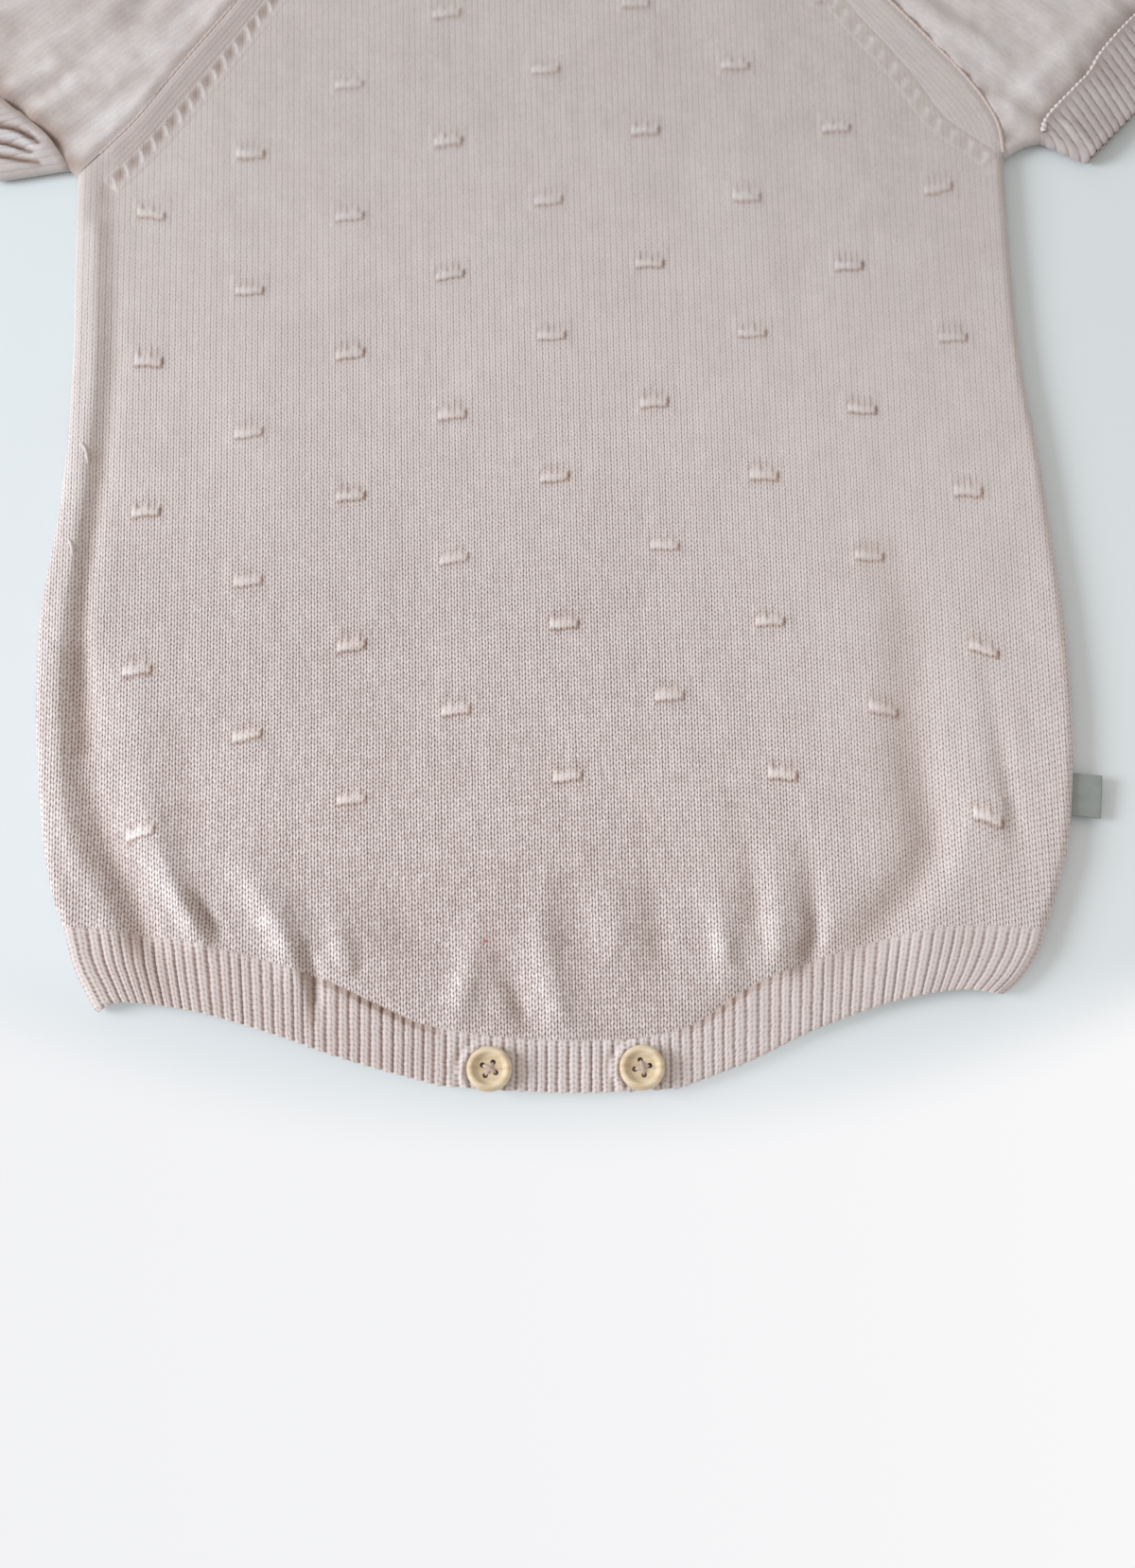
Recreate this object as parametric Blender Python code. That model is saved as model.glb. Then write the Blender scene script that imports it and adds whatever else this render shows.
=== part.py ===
"""Knitted baby bodysuit, laid flat on its back with the front up.

Frame: +X to the side that carries the label, +Y towards the neck, +Z up. The underside
lies on z = 0 and the origin is the middle of the footprint. Left and right are as seen
from above. Lengths are in millimetres, and MM turns them into metres.

The garment is a flattened bag: every panel is a wall whose outer face follows one height
rule, flat below, gently crowned above, and turned over in a roll at the folded edges.
"""
import math

import bmesh
import bpy
from mathutils import Vector

MM = 0.001

# Walls, seams and folded edges
JERSEY_WALL = 1.4
RIB_WALL = 1.8
SEAM_GAP = 0.3
RING_SEAM_GAP = 0.6
FOLD_EXTRA_GAP = 0.9
ROLL_REACH = 2.4
ROLL_STEPS = (0.0, 0.32, 1.2, ROLL_REACH)
SIDE_SEAM_INSET = 7.5

# Rows and columns of the wall grids
SIDE_CELLS = 12
SLEEVE_CELLS = 5
BAND_CELLS = 3
CUFF_CELLS = 2

# Folded sides of the body, from the band join up to the underarm: x, y
LEFT_SIDE = ((-136, -160), (-140, -150), (-144, -132), (-148.2, -98), (-149.1, -66),
             (-146.6, -40), (-145, -14), (-145.1, 17), (-146.5, 50), (-147.5, 80))
RIGHT_SIDE = ((139.8, -160.5), (143.5, -150), (148.4, -132), (151.6, -98), (151, -66),
              (149, -40), (146.8, -14), (143.5, 17), (142.3, 50), (142.1, 87))

# Raglan seams, from the underarm up to the neck seam: x, y
LEFT_RAGLAN_START = ((-147.5, 80), (-131, 99.5), (-120, 116), (-100, 145))
RIGHT_RAGLAN_START = ((142.1, 87), (140, 101), (130, 118), (108, 145))
LEFT_BACK_RAGLAN_START = ((-147.5, 80), (-126, 112), (-95, 154))
RIGHT_BACK_RAGLAN_START = ((142.1, 87), (123, 118), (94, 155))
RAGLAN_START_STEPS = ROLL_STEPS + (10.0,)
RAGLAN_CELLS = 11

# Ribbed band round the lower edge: where it joins the jersey, and its free edge: x, y
BAND_JOIN = ((-136, -160), (-113.7, -162), (-87, -167.4), (-61.7, -175.2), (-47, -181.9),
             (-29.6, -188.6), (5, -191.9), (36.3, -189), (58.1, -176), (84.8, -166.1),
             (111.6, -160.1), (139.8, -160.5))
LEFT_LEG_EDGE = ((-125.5, -184), (-117.9, -181.2), (-98.4, -183.7), (-76.9, -189.8),
                 (-54.6, -197.4), (-29.6, -205))
CROTCH_EDGE = ((-29.6, -205), (5, -206.8), (36.3, -205))
RIGHT_LEG_EDGE = ((127, -180), (114.3, -178), (95.3, -181), (73.5, -189), (54.9, -197.8),
                  (36.3, -205))
LEFT_HIP_FOLD = ((-125.5, -184), (-128.6, -178.7), (-132.8, -170.7), (-136, -160))
RIGHT_HIP_FOLD = ((127, -180), (132.2, -174.4), (137.2, -167.4), (139.8, -160.5))
CROTCH_LEFT = -29.6
CROTCH_RIGHT = 36.3
LEG_CELLS = 8
CROTCH_CELLS = 6
BACK_LEG_CELLS = 5
BACK_CROTCH_CELLS = 4
BACK_EDGE_INSET = 1.2

# Neck opening: two half-ovals about the same line, the seam and the free edge
NECK_SEAM = {"half": 79.0, "y": 201.8, "front": 42.0, "back": 10.0}
NECK_EDGE = {"half": 66.0, "y": 206.8, "front": 32.8, "back": 1.0}
FRONT_RAGLAN_ANGLE = math.radians(22.5)
BACK_RAGLAN_ANGLE = math.radians(34.6)
SLEEVE_HEAD_SHARES = (0.0, 0.02, 0.07, 0.15, 0.5, 1.0)

# Sleeves: underside, cuff seam and free edge of the cuff, each from the lower fold: x, y
LEFT_UNDERSIDE = ((-147.5, 80), (-150.5, 83.5))
LEFT_CUFF_SEAM = ((-150.5, 83.5), (-157.5, 94), (-166, 102), (-174, 109), (-213, 150))
LEFT_CUFF_EDGE = ((-173, 79.5), (-171.5, 89), (-176, 100), (-198, 117), (-225, 137.5))
RIGHT_UNDERSIDE = ((142.1, 87), (149, 91.6), (154.3, 93))
RIGHT_CUFF_SEAM = ((154.3, 93), (157.1, 101.5), (170.5, 116.7), (178.9, 129.3), (208.5, 162.3))
RIGHT_CUFF_EDGE = ((168.1, 85.8), (184.5, 103.6), (225, 150))

# Outer height of the flattened garment: y, height
HEIGHT_ROWS = ((-206.8, 3.9), (-193, 3.9), (-186, 4.6), (-165, 5.4), (-140, 5.8),
               (-100, 5.6), (0, 5.4), (100, 5.2), (150, 5.0), (206.8, 4.8))

# Largest folds above the band: x and y of both ends, half width, height
FOLDS = (
    (-118, -135, -97, -161, 8, 0.8),
    (-103, -138, -86, -161, 7, -0.7),
    (-97, -145, -74, -170, 8, 0.7),
    (-77, -154, -62, -176, 7, -0.7),
    (-8, -154, -6, -178, 6, 0.7),
    (2, -154, 4, -178, 6, -0.6),
    (48, -152, 55, -176, 9, 0.7),
    (72, -154, 77, -171, 8, -0.6),
    (113, -132, 85, -165, 12, 0.7),
)
FOLD_FADE = 15.0

# Half section of a wooden button from its base to the middle of its dish: radius, height
BUTTON_SECTION = ((0, 0), (5.45, 0), (6.05, 0.3), (6.25, 1.0), (6.25, 2.1), (6.0, 2.7),
                  (5.45, 3.0), (4.75, 2.9), (4.05, 2.1), (0, 2.1))

# Buttons: x, y and turn of the holes in degrees. The label stands out from the right seam.
BUTTON_THICKNESS = 3.0
HOLE_RADIUS = 0.8
HOLE_OFFSET = 1.7
BUTTON_BASE = 4.25
BUTTONS = {"button_left": (-16.0, -200.2, 45.0), "button_right": (26.0, -199.8, 10.0)}
BUTTON_SEGMENTS = 32
HOLE_SEGMENTS = 10

LABEL_LENGTH = 12.6
LABEL_REACH = 7.9
LABEL_THICKNESS = 1.0
LABEL_CENTRE_Y = -121.2
LABEL_HEIGHT = 2.9
LABEL_GAP = 0.2
LABEL_TILT = math.radians(-5.5)


def plan(points):
    """Rows of x and y as 2D vectors."""
    return [Vector(point) for point in points]


def polyline_at(points, lengths, distance):
    """Vector at a distance along a chain of vectors, with its running lengths given."""
    for start, end, low, high in zip(points, points[1:], lengths, lengths[1:]):
        if distance <= high:
            return start.lerp(end, (distance - low) / max(high - low, 1e-9))
    return points[-1].copy()


class Curve:
    """Smooth plan curve through a short table of points."""

    SPAN_STEPS = 12

    def __init__(self, table):
        knots = plan(table)
        before = knots[0] * 2 - knots[1]
        after = knots[-1] * 2 - knots[-2]
        chain = [before] + knots + [after]
        self.points = [knots[0]]
        for p0, p1, p2, p3 in zip(chain, chain[1:], chain[2:], chain[3:]):
            for step in range(1, self.SPAN_STEPS + 1):
                t = step / self.SPAN_STEPS
                cubic = (p1 * 3 - p0 - p2 * 3 + p3) * t ** 3
                square = (p0 * 2 - p1 * 5 + p2 * 4 - p3) * t ** 2
                self.points.append((p1 * 2 + (p2 - p0) * t + square + cubic) / 2)
        self.lengths = [0.0]
        for start, end in zip(self.points, self.points[1:]):
            self.lengths.append(self.lengths[-1] + (end - start).length)
        self.length = self.lengths[-1]

    def at(self, distance):
        return polyline_at(self.points, self.lengths, distance)

    def many(self, distances):
        return [self.at(distance) for distance in distances]

    def distance_at_x(self, x):
        """Running length where a curve that goes to +X passes x."""
        for start, end, low, high in zip(self.points, self.points[1:], self.lengths,
                                         self.lengths[1:]):
            if start.x <= x <= end.x:
                return low + (high - low) * (x - start.x) / (end.x - start.x)
        return self.length


def even(start, end, cells):
    """Evenly spaced values, both ends included."""
    return [start + (end - start) * index / cells for index in range(cells + 1)]


def rolled(length, cells):
    """Distances along an edge that are fine where it turns over at both ends."""
    inner = cells - 2 * (len(ROLL_STEPS) - 1)
    middle = even(ROLL_REACH, length - ROLL_REACH, inner)
    ends = [length - step for step in reversed(ROLL_STEPS[:-1])]
    return list(ROLL_STEPS[:-1]) + middle + ends


def shares(distances):
    """Distances as shares from 0 to 1."""
    span = distances[-1] - distances[0]
    return [(distance - distances[0]) / span for distance in distances]


def oval_point(oval, side, angle):
    """Point on the neck's half-oval, by the angle from its +X end."""
    return Vector((oval["half"] * math.cos(angle), oval["y"] - oval[side] * math.sin(angle)))


# Curves of the pattern
side_left = Curve(LEFT_SIDE)
side_right = Curve(RIGHT_SIDE)
join = Curve(BAND_JOIN)
hip_left = Curve(LEFT_HIP_FOLD)
hip_right = Curve(RIGHT_HIP_FOLD)


def raglan(start, side, angle):
    """Raglan seam from its table to where it meets the neck seam."""
    return Curve(tuple(start) + (tuple(oval_point(NECK_SEAM, side, angle)),))


raglans = {
    ("left", "front"): raglan(LEFT_RAGLAN_START, "front", math.pi - FRONT_RAGLAN_ANGLE),
    ("right", "front"): raglan(RIGHT_RAGLAN_START, "front", FRONT_RAGLAN_ANGLE),
    ("left", "back"): raglan(LEFT_BACK_RAGLAN_START, "back", math.pi - BACK_RAGLAN_ANGLE),
    ("right", "back"): raglan(RIGHT_BACK_RAGLAN_START, "back", BACK_RAGLAN_ANGLE),
}
cuff_seams = {"left": Curve(LEFT_CUFF_SEAM), "right": Curve(RIGHT_CUFF_SEAM)}
cuff_edges = {"left": Curve(LEFT_CUFF_EDGE), "right": Curve(RIGHT_CUFF_EDGE)}
undersides = {"left": Curve(LEFT_UNDERSIDE), "right": Curve(RIGHT_UNDERSIDE)}
shoulders = {
    "left": Curve((tuple(oval_point(NECK_SEAM, "front", math.pi)), LEFT_CUFF_SEAM[-1])),
    "right": Curve((tuple(oval_point(NECK_SEAM, "front", 0)), RIGHT_CUFF_SEAM[-1])),
}

# Every line where the cloth folds over, for the roll in the height rule
fold_lines = [side_left.points, side_right.points, hip_left.points, hip_right.points]
for hand, end_angle in (("left", math.pi), ("right", 0.0)):
    fold_lines.append(undersides[hand].points)
    fold_lines.append(shoulders[hand].points)
    fold_lines.append([cuff_seams[hand].points[0], cuff_edges[hand].points[0]])
    fold_lines.append([cuff_seams[hand].points[-1], cuff_edges[hand].points[-1]])
    fold_lines.append([oval_point(NECK_SEAM, "front", end_angle),
                       oval_point(NECK_EDGE, "front", end_angle)])


def segment_distance(point, start, end):
    """Distance in plan from a point to a straight segment."""
    along = end - start
    share = (point - start).dot(along) / max(along.length_squared, 1e-9)
    return (point - start - along * min(max(share, 0.0), 1.0)).length


def fold_distance(point):
    """Distance in plan to the nearest folded edge."""
    nearest = math.inf
    for line in fold_lines:
        for start, end in zip(line, line[1:]):
            nearest = min(nearest, segment_distance(point, start, end))
    return nearest


def garment_height(point, edge_distance):
    """Outer height of the flattened garment over a plan point."""
    height = HEIGHT_ROWS[0][1]
    for (low_y, low), (high_y, high) in zip(HEIGHT_ROWS, HEIGHT_ROWS[1:]):
        if point.y >= low_y:
            share = min((point.y - low_y) / (high_y - low_y), 1.0)
            height = low + (high - low) * share
    fade = min(edge_distance / FOLD_FADE, 1.0)
    for x1, y1, x2, y2, width, rise in FOLDS:
        reach = segment_distance(point, Vector((x1, y1)), Vector((x2, y2))) / width
        height += fade * rise * math.exp(-reach * reach)
    return height


def lift(point, side):
    """Plan point onto the outer face: side is 1 above, -1 below and 0 on the fold."""
    distance = fold_distance(point)
    height = garment_height(point, distance)
    inward = min(distance / ROLL_REACH, 1.0)
    bulge = math.sqrt(1.0 - (1.0 - inward) ** 2)
    return Vector((point.x, point.y, height / 2 * (1.0 + side * bulge)))


def sag(points, at_shares):
    """How far an edge's points lie from the straight line between its ends."""
    return [point - points[0].lerp(points[-1], share) for point, share in zip(points, at_shares)]


def patch(bottom, top, left, right, low_shares, high_shares, spread):
    """Grid of plan points that meets four given edges. spread says, row by row, how far
    the columns have moved from low_shares to high_shares."""
    bottom_sag = sag(bottom, low_shares)
    top_sag = sag(top, high_shares)
    rows = []
    last = len(left) - 1
    for index in range(last + 1):
        v = index / last
        row = []
        for low, high in zip(low_shares, high_shares):
            u = low + (high - low) * spread[index]
            point = left[index].lerp(right[index], u)
            point = point + polyline_at(bottom_sag, low_shares, u) * (1 - v) ** 2
            row.append(point + polyline_at(top_sag, high_shares, u) * v ** 2)
        rows.append(row)
    return rows


def raise_rows(rows, side, folds=()):
    """Lift a grid of plan points; the columns in folds lie on a folded edge."""
    lifted = []
    for row in rows:
        marks = [0 if k in folds or k - len(row) in folds else side for k in range(len(row))]
        lifted.append([lift(point, mark) for point, mark in zip(row, marks)])
    return lifted


def pull_in(point, inner, gap=SEAM_GAP):
    """Move an edge point half a seam gap towards the next row or column. The gap widens on
    the folded edges, where the walls that meet turn different ways."""
    if point is None or inner is None:
        return point
    closeness = max(1.0 - fold_distance(point.xy) / ROLL_REACH, 0.0)
    return point + (inner - point).normalized() * (gap + FOLD_EXTRA_GAP * closeness) / 2


def trim_first_row(rows, gap=SEAM_GAP):
    """Open half a seam gap along the first row."""
    rows[0] = [pull_in(point, inner, gap) for point, inner in zip(rows[0], rows[1])]


def trim_last_row(rows, gap=SEAM_GAP):
    """Open half a seam gap along the last row."""
    rows[-1] = [pull_in(point, inner, gap) for point, inner in zip(rows[-1], rows[-2])]


def trim_columns(rows):
    """Open half a seam gap along the first and last columns."""
    for row in rows:
        row[0] = pull_in(row[0], row[1])
        row[-1] = pull_in(row[-1], row[-2])


def material(name, colour, roughness):
    """Plain Principled material in linear colour."""
    made = bpy.data.materials.new(name)
    made.use_nodes = True
    shader = made.node_tree.nodes["Principled BSDF"]
    shader.inputs["Base Color"].default_value = (*colour, 1.0)
    shader.inputs["Roughness"].default_value = roughness
    shader.inputs["Metallic"].default_value = 0.0
    return made


def add_object(name, mesh, finish):
    """Object at the origin with one material."""
    made = bpy.data.objects.new(name, mesh)
    mesh.materials.append(finish)
    bpy.context.scene.collection.objects.link(made)
    return made


def cloth(name, rows, wall, finish, closed=False, flip=False):
    """Wall of cloth: a sheet on the outer face, thickened inwards. A None in a row is a
    place that the piece doesn't reach."""
    shape = bmesh.new()
    grid = []
    for row in rows:
        grid.append([shape.verts.new(point * MM) if point is not None else None for point in row])
    for low, high in zip(grid, grid[1:]):
        count = len(low) if closed else len(low) - 1
        for k in range(count):
            after = (k + 1) % len(low)
            corners = [low[k], low[after], high[after], high[k]]
            if None in corners:
                continue
            shape.faces.new(reversed(corners) if flip else corners)
    mesh = bpy.data.meshes.new(name)
    shape.to_mesh(mesh)
    shape.free()
    made = add_object(name, mesh, finish)
    thicken = made.modifiers.new("wall", "SOLIDIFY")
    thicken.thickness = wall * MM
    thicken.offset = -1.0
    thicken.use_even_offset = False
    thicken.use_rim = True
    mesh.shade_smooth()
    return made


def front_join_distances():
    """Distances along the band join for the columns that the front shares with its bands."""
    left_seam = join.distance_at_x(CROTCH_LEFT)
    right_seam = join.distance_at_x(CROTCH_RIGHT)
    distances = list(ROLL_STEPS) + even(SIDE_SEAM_INSET, left_seam, LEG_CELLS)
    distances += even(left_seam, right_seam, CROTCH_CELLS)[1:]
    distances += even(right_seam, join.length - ROLL_REACH, LEG_CELLS)[1:]
    return distances + [join.length - step for step in reversed(ROLL_STEPS[:-1])]


def back_join_distances():
    """The same for the back and its bands."""
    left_seam = join.distance_at_x(CROTCH_LEFT)
    right_seam = join.distance_at_x(CROTCH_RIGHT)
    distances = list(ROLL_STEPS[:-1]) + even(ROLL_REACH, left_seam, BACK_LEG_CELLS)
    distances += even(left_seam, right_seam, BACK_CROTCH_CELLS)[1:]
    distances += even(right_seam, join.length - ROLL_REACH, BACK_LEG_CELLS)[1:]
    return distances + [join.length - step for step in reversed(ROLL_STEPS[:-1])]


front_columns = front_join_distances()
back_columns = back_join_distances()
seam_column = len(ROLL_STEPS)
front_crotch = (seam_column + LEG_CELLS, seam_column + LEG_CELLS + CROTCH_CELLS)
back_crotch = (len(ROLL_STEPS) - 1 + BACK_LEG_CELLS,
               len(ROLL_STEPS) - 1 + BACK_LEG_CELLS + BACK_CROTCH_CELLS)

# Distances along each raglan seam, fine where it starts on the folded edge. On the left of
# the front the first steps belong to the strip that wraps over from the back.
raglan_steps = {}
for key, curve in raglans.items():
    cells = RAGLAN_CELLS - len(RAGLAN_START_STEPS) + 1
    if key == ("left", "front"):
        cells = RAGLAN_CELLS
    rest = even(RAGLAN_START_STEPS[-1], curve.length, cells)
    raglan_steps[key] = list(RAGLAN_START_STEPS[:-1]) + rest


def side_points(curve):
    return curve.many(even(0, curve.length, SIDE_CELLS))


def body_spread():
    """Columns keep their place up to the underarm, then even out towards the neck."""
    above = [index / RAGLAN_CELLS for index in range(1, RAGLAN_CELLS + 1)]
    return [0.0] * (SIDE_CELLS + 1) + above


def side_seam():
    """Side seam on the front face, from the band join to the raglan seam."""
    points = [side + Vector((SIDE_SEAM_INSET, 0)) for side in side_points(side_left)]
    points[0] = join.at(SIDE_SEAM_INSET)
    points[-1] = raglans["left", "front"].at(RAGLAN_START_STEPS[-1])
    return points


def front_neck_points():
    """Neck seam of the front panel, evenly spaced from left to right."""
    count = len(front_columns) - 1 - seam_column
    angles = even(math.pi - FRONT_RAGLAN_ANGLE, FRONT_RAGLAN_ANGLE, count)
    return [oval_point(NECK_SEAM, "front", angle) for angle in angles]


def back_neck_points():
    """Neck seam of the back panel, evenly spaced from left to right."""
    angles = even(math.pi - BACK_RAGLAN_ANGLE, BACK_RAGLAN_ANGLE, len(back_columns) - 1)
    return [oval_point(NECK_SEAM, "back", angle) for angle in angles]


def build_front_panel(finish):
    """Front, from the left side seam on its face to the folded right side."""
    left_raglan = raglans["left", "front"]
    right_raglan = raglans["right", "front"]
    left_steps = raglan_steps["left", "front"][len(RAGLAN_START_STEPS):]
    left = side_seam() + left_raglan.many(left_steps)
    right = side_points(side_right) + right_raglan.many(raglan_steps["right", "front"][1:])
    bottom = join.many(front_columns[seam_column:])
    top = front_neck_points()
    low = shares(front_columns[seam_column:])
    rows = patch(bottom, top, left, right, low, even(0, 1, len(low) - 1), body_spread())
    rows = raise_rows(rows[:SIDE_CELLS + 1], 1, folds=(-1,)) + raise_rows(rows[SIDE_CELLS + 1:], 1)
    trim_columns(rows)
    trim_first_row(rows)
    trim_last_row(rows)
    return cloth("front_panel", rows, JERSEY_WALL, finish)


def build_back_panel(finish):
    """Back, flat on the surface; at its left it wraps over the fold to the side seam."""
    left = side_points(side_left) + raglans["left", "back"].many(raglan_steps["left", "back"][1:])
    right = side_points(side_right) + raglans["right", "back"].many(raglan_steps["right", "back"][1:])
    bottom = join.many(back_columns)
    low = shares(back_columns)
    rows = patch(bottom, back_neck_points(), left, right, low, even(0, 1, len(low) - 1),
                 body_spread())
    under = raise_rows(rows[:SIDE_CELLS + 1], -1, folds=(0, -1))
    under += raise_rows(rows[SIDE_CELLS + 1:], -1)
    wrap = []
    for index, (fold, sewn) in enumerate(zip(side_points(side_left), side_seam())):
        if index == 0:
            points = join.many(ROLL_STEPS + (SIDE_SEAM_INSET,))
        elif index == SIDE_CELLS:
            points = raglans["left", "front"].many(RAGLAN_START_STEPS)
        else:
            points = [fold.lerp(sewn, step / SIDE_SEAM_INSET)
                      for step in ROLL_STEPS + (SIDE_SEAM_INSET,)]
        wrap.append([lift(point, 1) for point in reversed(points[1:])])
    empty = [None] * len(wrap[0])
    full = []
    for index, row in enumerate(under):
        full.append((wrap[index] if index <= SIDE_CELLS else list(empty)) + row)
    fold_column = len(empty)
    for k in range(fold_column):
        full[SIDE_CELLS][k] = pull_in(full[SIDE_CELLS][k], full[SIDE_CELLS - 1][k])
    for index, row in enumerate(full):
        first = 0 if index <= SIDE_CELLS else fold_column
        row[first] = pull_in(row[first], row[first + 1])
        row[-1] = pull_in(row[-1], row[-2])
    trim_first_row(full)
    trim_last_row(full)
    return cloth("back_panel", full, JERSEY_WALL, finish, flip=True)


def edge_points(edge_curve, join_distances):
    """Points on a band's free edge, spaced as on its join, from the hip fold inwards."""
    reach = shares(join_distances)
    start = list(ROLL_STEPS)
    rest = [share * edge_curve.length for share in reach[len(start):]]
    return edge_curve.many(start + rest)


def edge_distances(points):
    """Running length along a list of points."""
    running = [0.0]
    for start, end in zip(points, points[1:]):
        running.append(running[-1] + (end - start).length)
    return running


def set_back(bottom, top):
    """Move the back run's free edge in from the hip on, so that the front run covers it."""
    moved = bottom[:len(ROLL_STEPS) - 1]
    for point, upper in list(zip(bottom, top))[len(moved):]:
        moved.append(point + (upper - point).normalized() * BACK_EDGE_INSET)
    return moved


def build_leg_band(name, hand, finish):
    """Ribbed band of one leg: front run, folded at the hip, and back run."""
    edge = Curve(LEFT_LEG_EDGE if hand == "left" else RIGHT_LEG_EDGE)
    hip = hip_left if hand == "left" else hip_right
    runs = {}
    for side, columns, crotch in ((1, front_columns, front_crotch), (-1, back_columns, back_crotch)):
        if hand == "left":
            distances = columns[:crotch[0] + 1]
            top = join.many(distances)
        else:
            distances = [join.length - value for value in reversed(columns[crotch[1]:])]
            top = join.many([join.length - value for value in distances])
        bottom = edge_points(edge, distances)
        if side == -1:
            bottom = set_back(bottom, top)
        left = hip.many(even(0, hip.length, BAND_CELLS))
        right = [bottom[-1].lerp(top[-1], index / BAND_CELLS) for index in range(BAND_CELLS + 1)]
        low = shares(edge_distances(bottom))
        high = shares(distances)
        spread = even(0, 1, BAND_CELLS)
        rows = patch(bottom, top, left, right, low, high, spread)
        runs[side] = raise_rows(rows, side, folds=(0,))
    rows = []
    for front, back in zip(runs[1], runs[-1]):
        rows.append(list(reversed(front)) + back[1:])
    trim_last_row(rows)
    trim_columns(rows)
    return cloth(name, rows, RIB_WALL, finish, flip=hand == "left")


def build_crotch_band(name, side, finish):
    """Ribbed crotch flap: side 1 is the front flap, -1 the one under it."""
    columns, crotch = (front_columns, front_crotch) if side == 1 else (back_columns, back_crotch)
    distances = columns[crotch[0]:crotch[1] + 1]
    top = join.many(distances)
    edge = Curve(CROTCH_EDGE)
    bottom = edge.many([share * edge.length for share in shares(distances)])
    if side == -1:
        bottom = [point + Vector((0, BACK_EDGE_INSET)) for point in bottom]
    rows = []
    for index in range(BAND_CELLS + 1):
        share = index / BAND_CELLS
        rows.append([lift(low.lerp(high, share), side) for low, high in zip(bottom, top)])
    trim_last_row(rows)
    trim_columns(rows)
    return cloth(name, rows, RIB_WALL, finish, flip=side == -1)


def sleeve_head(hand, side):
    """Sleeve's upper edge: up the raglan seam, then along the neck to the shoulder fold."""
    angle = FRONT_RAGLAN_ANGLE if side == "front" else BACK_RAGLAN_ANGLE
    points = raglans[hand, side].many(raglan_steps[hand, side])
    for share in reversed(SLEEVE_HEAD_SHARES[:-1]):
        turn = angle * share
        points.append(oval_point(NECK_SEAM, side, math.pi - turn if hand == "left" else turn))
    return points


def build_sleeve(name, hand, finish):
    """Short raglan sleeve: a flattened tube from the raglan seams to the cuff seam."""
    low_fold = undersides[hand].many(even(0, undersides[hand].length, SLEEVE_CELLS))
    high_fold = shoulders[hand].many(even(0, shoulders[hand].length, SLEEVE_CELLS))
    seam = cuff_seams[hand]
    runs = {}
    for side, mark in (("front", 1), ("back", -1)):
        head = sleeve_head(hand, side)
        distances = rolled(seam.length, len(head) - 1)
        rows = patch(head, seam.many(distances), low_fold, high_fold,
                     shares(edge_distances(head)), shares(distances), even(0, 1, SLEEVE_CELLS))
        runs[mark] = raise_rows(rows, mark, folds=(0, -1))
    rows = [front + list(reversed(back[1:-1])) for front, back in zip(runs[1], runs[-1])]
    trim_first_row(rows)
    trim_last_row(rows, RING_SEAM_GAP)
    return cloth(name, rows, JERSEY_WALL, finish, closed=True, flip=hand == "right")


def build_cuff(name, hand, finish):
    """Ribbed cuff: a flattened ring from the cuff seam to its free edge."""
    seam = cuff_seams[hand]
    edge = cuff_edges[hand]
    steps = even(0, 1, CUFF_CELLS)
    low_fold = [seam.points[0].lerp(edge.points[0], step) for step in steps]
    high_fold = [seam.points[-1].lerp(edge.points[-1], step) for step in steps]
    runs = {}
    for side, mark in (("front", 1), ("back", -1)):
        cells = len(sleeve_head(hand, side)) - 1
        seam_distances = rolled(seam.length, cells)
        edge_steps = rolled(edge.length, cells)
        rows = patch(seam.many(seam_distances), edge.many(edge_steps), low_fold, high_fold,
                     shares(seam_distances), shares(edge_steps), steps)
        runs[mark] = raise_rows(rows, mark, folds=(0, -1))
    rows = [front + list(reversed(back[1:-1])) for front, back in zip(runs[1], runs[-1])]
    trim_first_row(rows, RING_SEAM_GAP)
    return cloth(name, rows, RIB_WALL, finish, closed=True, flip=hand == "right")


def build_neckband(finish):
    """Ribbed neckband: a flattened ring that closes the top of panels and sleeves."""
    runs = {}
    for side, mark, panel in (("front", 1, front_neck_points()), ("back", -1, back_neck_points())):
        head_cells = len(SLEEVE_HEAD_SHARES) - 1
        seam = sleeve_head("left", side)[:-head_cells - 1:-1] + panel
        seam += sleeve_head("right", side)[-head_cells:]
        turn = FRONT_RAGLAN_ANGLE if side == "front" else BACK_RAGLAN_ANGLE
        head = [turn * share for share in SLEEVE_HEAD_SHARES]
        angles = [math.pi - angle for angle in head]
        angles += even(math.pi - turn, turn, len(panel) - 1)[1:]
        angles += list(reversed(head[:-1]))
        edge = [oval_point(NECK_EDGE, side, angle) for angle in angles]
        rows = []
        for step in even(0, 1, CUFF_CELLS):
            plan_row = [low.lerp(high, step) for low, high in zip(seam, edge)]
            rows.append(plan_row)
        runs[mark] = raise_rows(rows, mark, folds=(0, -1))
    rows = [front + list(reversed(back[1:-1])) for front, back in zip(runs[1], runs[-1])]
    trim_first_row(rows, RING_SEAM_GAP)
    return cloth("neckband", rows, RIB_WALL, finish, closed=True)


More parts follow.
